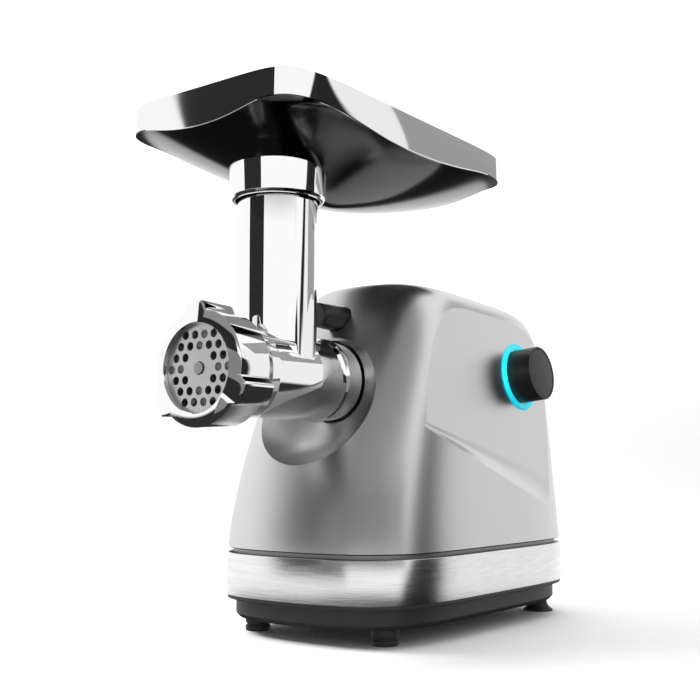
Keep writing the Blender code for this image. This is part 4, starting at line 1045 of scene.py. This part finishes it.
def make_collar(finishes):
    """The sleeve under the tray, round the top of the tube. Its upper edge follows the hull."""
    low, count = COLLAR_BOTTOM, 160
    inside = TUBE_RADIUS + COLLAR_PLAY

    def top(radius):
        return [(x, y + TUBE_Y, hull_z(x, y + TUBE_Y) - 0.3) for x, y in circle(radius, count)]

    outline = [(inside, low), (COLLAR_RADIUS - 1.2, low), (COLLAR_RADIUS, low + 2.0),
               (COLLAR_RADIUS + 0.2, low + 9)]
    outline = rounded(outline, [0, 0.6, 1, 0], False, 4)
    rings = [[(x, y + TUBE_Y, z) for x, y in circle(radius, count)] for radius, z in outline]
    rings += [top(COLLAR_RADIUS + 0.9), top(inside)]
    make_piece("collar", loft(rings, True), finishes["chrome"], "tray", ["tray_collar"], 30)


# ---------------------------------------------------------------- controls


def make_knob(finishes):
    """Grip, cap and lamp, all turned about the knob's axis."""
    top, rim = KNOB_HEIGHT, 1.6
    grip = [(POINT, -0.5), (KNOB_RADIUS - 0.3, -0.5), (KNOB_RADIUS, 0.2), (KNOB_RADIUS, top),
            (KNOB_RADIUS - rim, top), (KNOB_RADIUS - rim, top - 1.5), (POINT, top - 1.5)]
    grip = rounded(grip, [0, 0.2, 0.2, 0.9, 0.4, 0, 0])
    cap_radius = KNOB_RADIUS - rim - 0.3
    cap = [(POINT, top - 1.2), (cap_radius, top - 1.2), (cap_radius, top - 0.3), (POINT, top - 0.6)]
    cap = rounded(cap, [0, 0.1, 0.3, 0], False, 4)
    lamp = [(LAMP_INNER, -0.9), (LAMP_OUTER, -0.9), (LAMP_OUTER, 1.3), (LAMP_INNER, 1.5)]
    lamp = rounded(lamp, [0.1, 0.1, 0.9, 0.3], True)

    def spin(name, profile, finish, body, node, closed=False):
        shape = placed(turned(profile, 144, closed), KNOB_PLACE)
        make_piece(name, shape, finishes[finish], body, [node], 40)

    spin("knob_grip", grip, "knob", "knob", "knob")
    spin("knob_face", cap, "cap", "knob", "knob_cap")
    spin("lamp_halo", lamp, "lamp", "base", "lamp_ring", True)


def button_outline(radius, depth, count=144):
    """Three finger grooves round a circle."""
    outline = []
    for i in range(count):
        angle = 2 * math.pi * i / count
        groove = (0.5 + 0.5 * math.cos(3 * angle + math.pi / 2)) ** 2
        outline.append(polar(radius * (1 - depth * groove), angle))
    return outline


def make_button(finishes):
    """The release button: three finger grooves on its grip, and nearly round behind."""
    front, rear = BUTTON_FRONT, -1.0
    behind = front + BUTTON_GRIP
    profile = [(0.0, front), (BUTTON_RADIUS - 0.2, front), (BUTTON_RADIUS, behind), (BUTTON_RADIUS, rear)]
    profile = rounded(profile, [0, 1.8, 4, 0], False, 6)
    rings = []
    for radius, y in profile:
        groove = 0.09 if y < behind else 0.02
        rings.append(level(button_outline(max(radius, 2 * POINT), groove), y))
    shape = placed(loft(rings), BUTTON_PLACE)
    make_piece("latch_button", shape, finishes["knob"], "release", ["release_button"], 40)


# ---------------------------------------------------------------- inner parts


def finish_inner_parts(finishes):
    """The CAD nodes that are shown as they are get their finish."""
    screws = [f"{place}_screw_{i}" for place in ("base", "cover") for i in range(1, 5)]
    shafts = ["output_shaft", "counter_shaft", "motor_shaft", "switch_spindle"]
    looks = {
        "cast": ["gearbox_case", "gearbox_cover", "motor_bracket", "latch_guide"],
        "steel": [*shafts, "latch_bolt", "release_spring", *screws],
        "plate": ["cross_knife"],
        "nylon": ["output_gear", "counter_gear", "auger_bush"],
        "bronze": ["output_bush", "rear_bearing"],
        "copper": ["field_winding_front", "field_winding_rear", "commutator"],
        "lamination": ["motor_stator", "rotor_core"],
        "carbon": ["carbon_brush_left", "carbon_brush_right"],
        "pan": ["rotary_switch", "cooling_fan"],
        "rubber": ["cord_gland"],
        "board": ["control_board"],
    }
    for look, nodes in looks.items():
        for node in nodes:
            for slot in frame["nodes"][node].material_slots:
                slot.material = finishes[look]


# ---------------------------------------------------------------- studio


def make_world():
    """What polished metal sees: a white studio, two dark upright panels, a grey canopy and a dark ground.

    Places here are in degrees: turn from +X towards +Y, and height above the horizon.
    """
    world = bpy.data.worlds.new("studio")
    world.use_nodes = True
    shader = Shader(world.node_tree)
    way = shader.place("Generated")
    x, y, z = (shader.split(way, axis) for axis in "XYZ")
    turn = y.math("ARCTAN2", y, x) * (180 / math.pi)
    height = z.math("ARCSINE", z) * (180 / math.pi)

    def panel(start, end, edge=0.25, lean=0.0, fall=0.0):
        """1 from start to end. The start leans with height, and the end from 12 degrees up."""
        from_start, to_end = turn - lean * height, turn - fall * height.math("MAXIMUM", height, 12.0)
        return from_start.step(start - edge, start + edge) * to_end.step(end - edge, end + edge, 1.0, 0.0)

    low = height.step(23, 28, 1.0, 0.0)
    front = panel(-133.3, -89, lean=-0.17) * low * height.step(-4, -2)
    side = panel(12, 56, 1.5, 0.9, -0.65) * low
    canopy = panel(-150, 8, 12.0) * height.step(20, 28) * height.step(70, 84, 1.0, 0.0)
    soft = panel(40, 80, 10.0) * low
    black, darkest, strength = 0.975, 0.02, 1.05
    sky = 1.0 - front * black - side * black - canopy * 0.74 - soft * 0.12
    ground = height.step(-16, -11, 0.03, 1.0)
    value = sky.math("MAXIMUM", sky, darkest) * ground
    light = shader.node("ShaderNodeBackground", {}, {"Color": value, "Strength": strength})
    shader.end("ShaderNodeOutputWorld", light)
    bpy.context.scene.world = world


def make_stage():
    """A pale floor that sweeps up behind the grinder. Metal reflects the studio and not the floor."""
    pale = make_material("pale_paper", paper, Emission_Strength=1.0)
    steps = 16
    angles = [math.pi / 2 * i / steps for i in range(steps + 1)]
    bend = [(SWEEP_BEND + SWEEP_RADIUS * math.sin(a), SWEEP_RADIUS * (1 - math.cos(a))) for a in angles]
    profile = [(SWEEP_FRONT, 0.0), *bend, (SWEEP_BEND + SWEEP_RADIUS, SWEEP_TOP)]
    points, faces = [], []
    view = math.radians(CAMERA_TURN)
    forward = Vector((-math.sin(view), math.cos(view), 0))
    across = Vector((forward.y, -forward.x, 0))
    for depth, height in profile:
        for side in (-SWEEP_HALF, SWEEP_HALF):
            points.append(tuple(forward * depth + across * side + Vector((0, 0, height))))
    for i in range(len(profile) - 1):
        faces.append((2 * i, 2 * i + 1, 2 * i + 3, 2 * i + 2))
    mesh = bpy.data.meshes.new("sweep")
    mesh.from_pydata(points, [], faces)
    mesh.shade_smooth()
    mesh.materials.append(pale)
    sweep = add("sweep", mesh)
    sweep.visible_glossy = False


def make_cards():
    """Grey cards that only reflections see: they tone the tray's side and the housing's foot."""
    wall, low, high = [(-0.09, -0.36), (0.15, -0.36), (0.36, -0.20), (0.42, -0.02)], 0.07, 0.23
    cards = {
        "tray_card": (0.26, [(0.08, 0.36, 0.37), (0.38, 0.36, 0.43), (0.38, 0.36, 0.60), (0.08, 0.36, 0.50)]),
        "foot_card": (0.20, [(*place, low) for place in wall] + [(*place, high) for place in reversed(wall)]),
    }
    for name, (shade, corners) in cards.items():
        mesh = bpy.data.meshes.new(name)
        last = len(corners) - 1
        mesh.from_pydata(corners, [], [(i, i + 1, last - 1 - i, last - i) for i in range(last // 2)])
        look = grained(shade, shade * 0.9, 0.8, 0.05, 20.0, 0.0)
        mesh.materials.append(make_material(name + "_paper", look))
        card = add(name, mesh)
        card.visible_camera = False
        card.visible_diffuse = False
        card.visible_shadow = False


def make_lights():
    """Two round lamps with their place and size in metres and their power in watts."""
    lamps = [("key", (-1.1, -0.7, 1.5), 0.9, 46.0), ("top", (0.2, 0.1, 2.2), 1.6, 18.0)]
    for name, place, size, power in lamps:
        data = bpy.data.lights.new(name, "AREA")
        data.shape = "DISK"
        data.size = size
        data.energy = power
        lamp = add(name, data)
        lamp.location = place
        lamp.rotation_euler = (LOOK_AT - Vector(place)).to_track_quat("-Z", "Y").to_euler()
        lamp.visible_glossy = False


def main():
    make_camera()
    finishes = make_finishes()
    make_housing(finishes)
    make_reveal(finishes)
    make_band(finishes)
    make_pan(finishes)
    make_feet(finishes)
    make_head(finishes)
    make_ring(finishes)
    make_plate(finishes)
    make_auger(finishes)
    make_tray(finishes)
    make_collar(finishes)
    make_knob(finishes)
    make_button(finishes)
    finish_inner_parts(finishes)
    make_world()
    make_stage()
    make_cards()
    make_lights()
    bpy.context.scene.view_settings.view_transform = "Standard"


main()
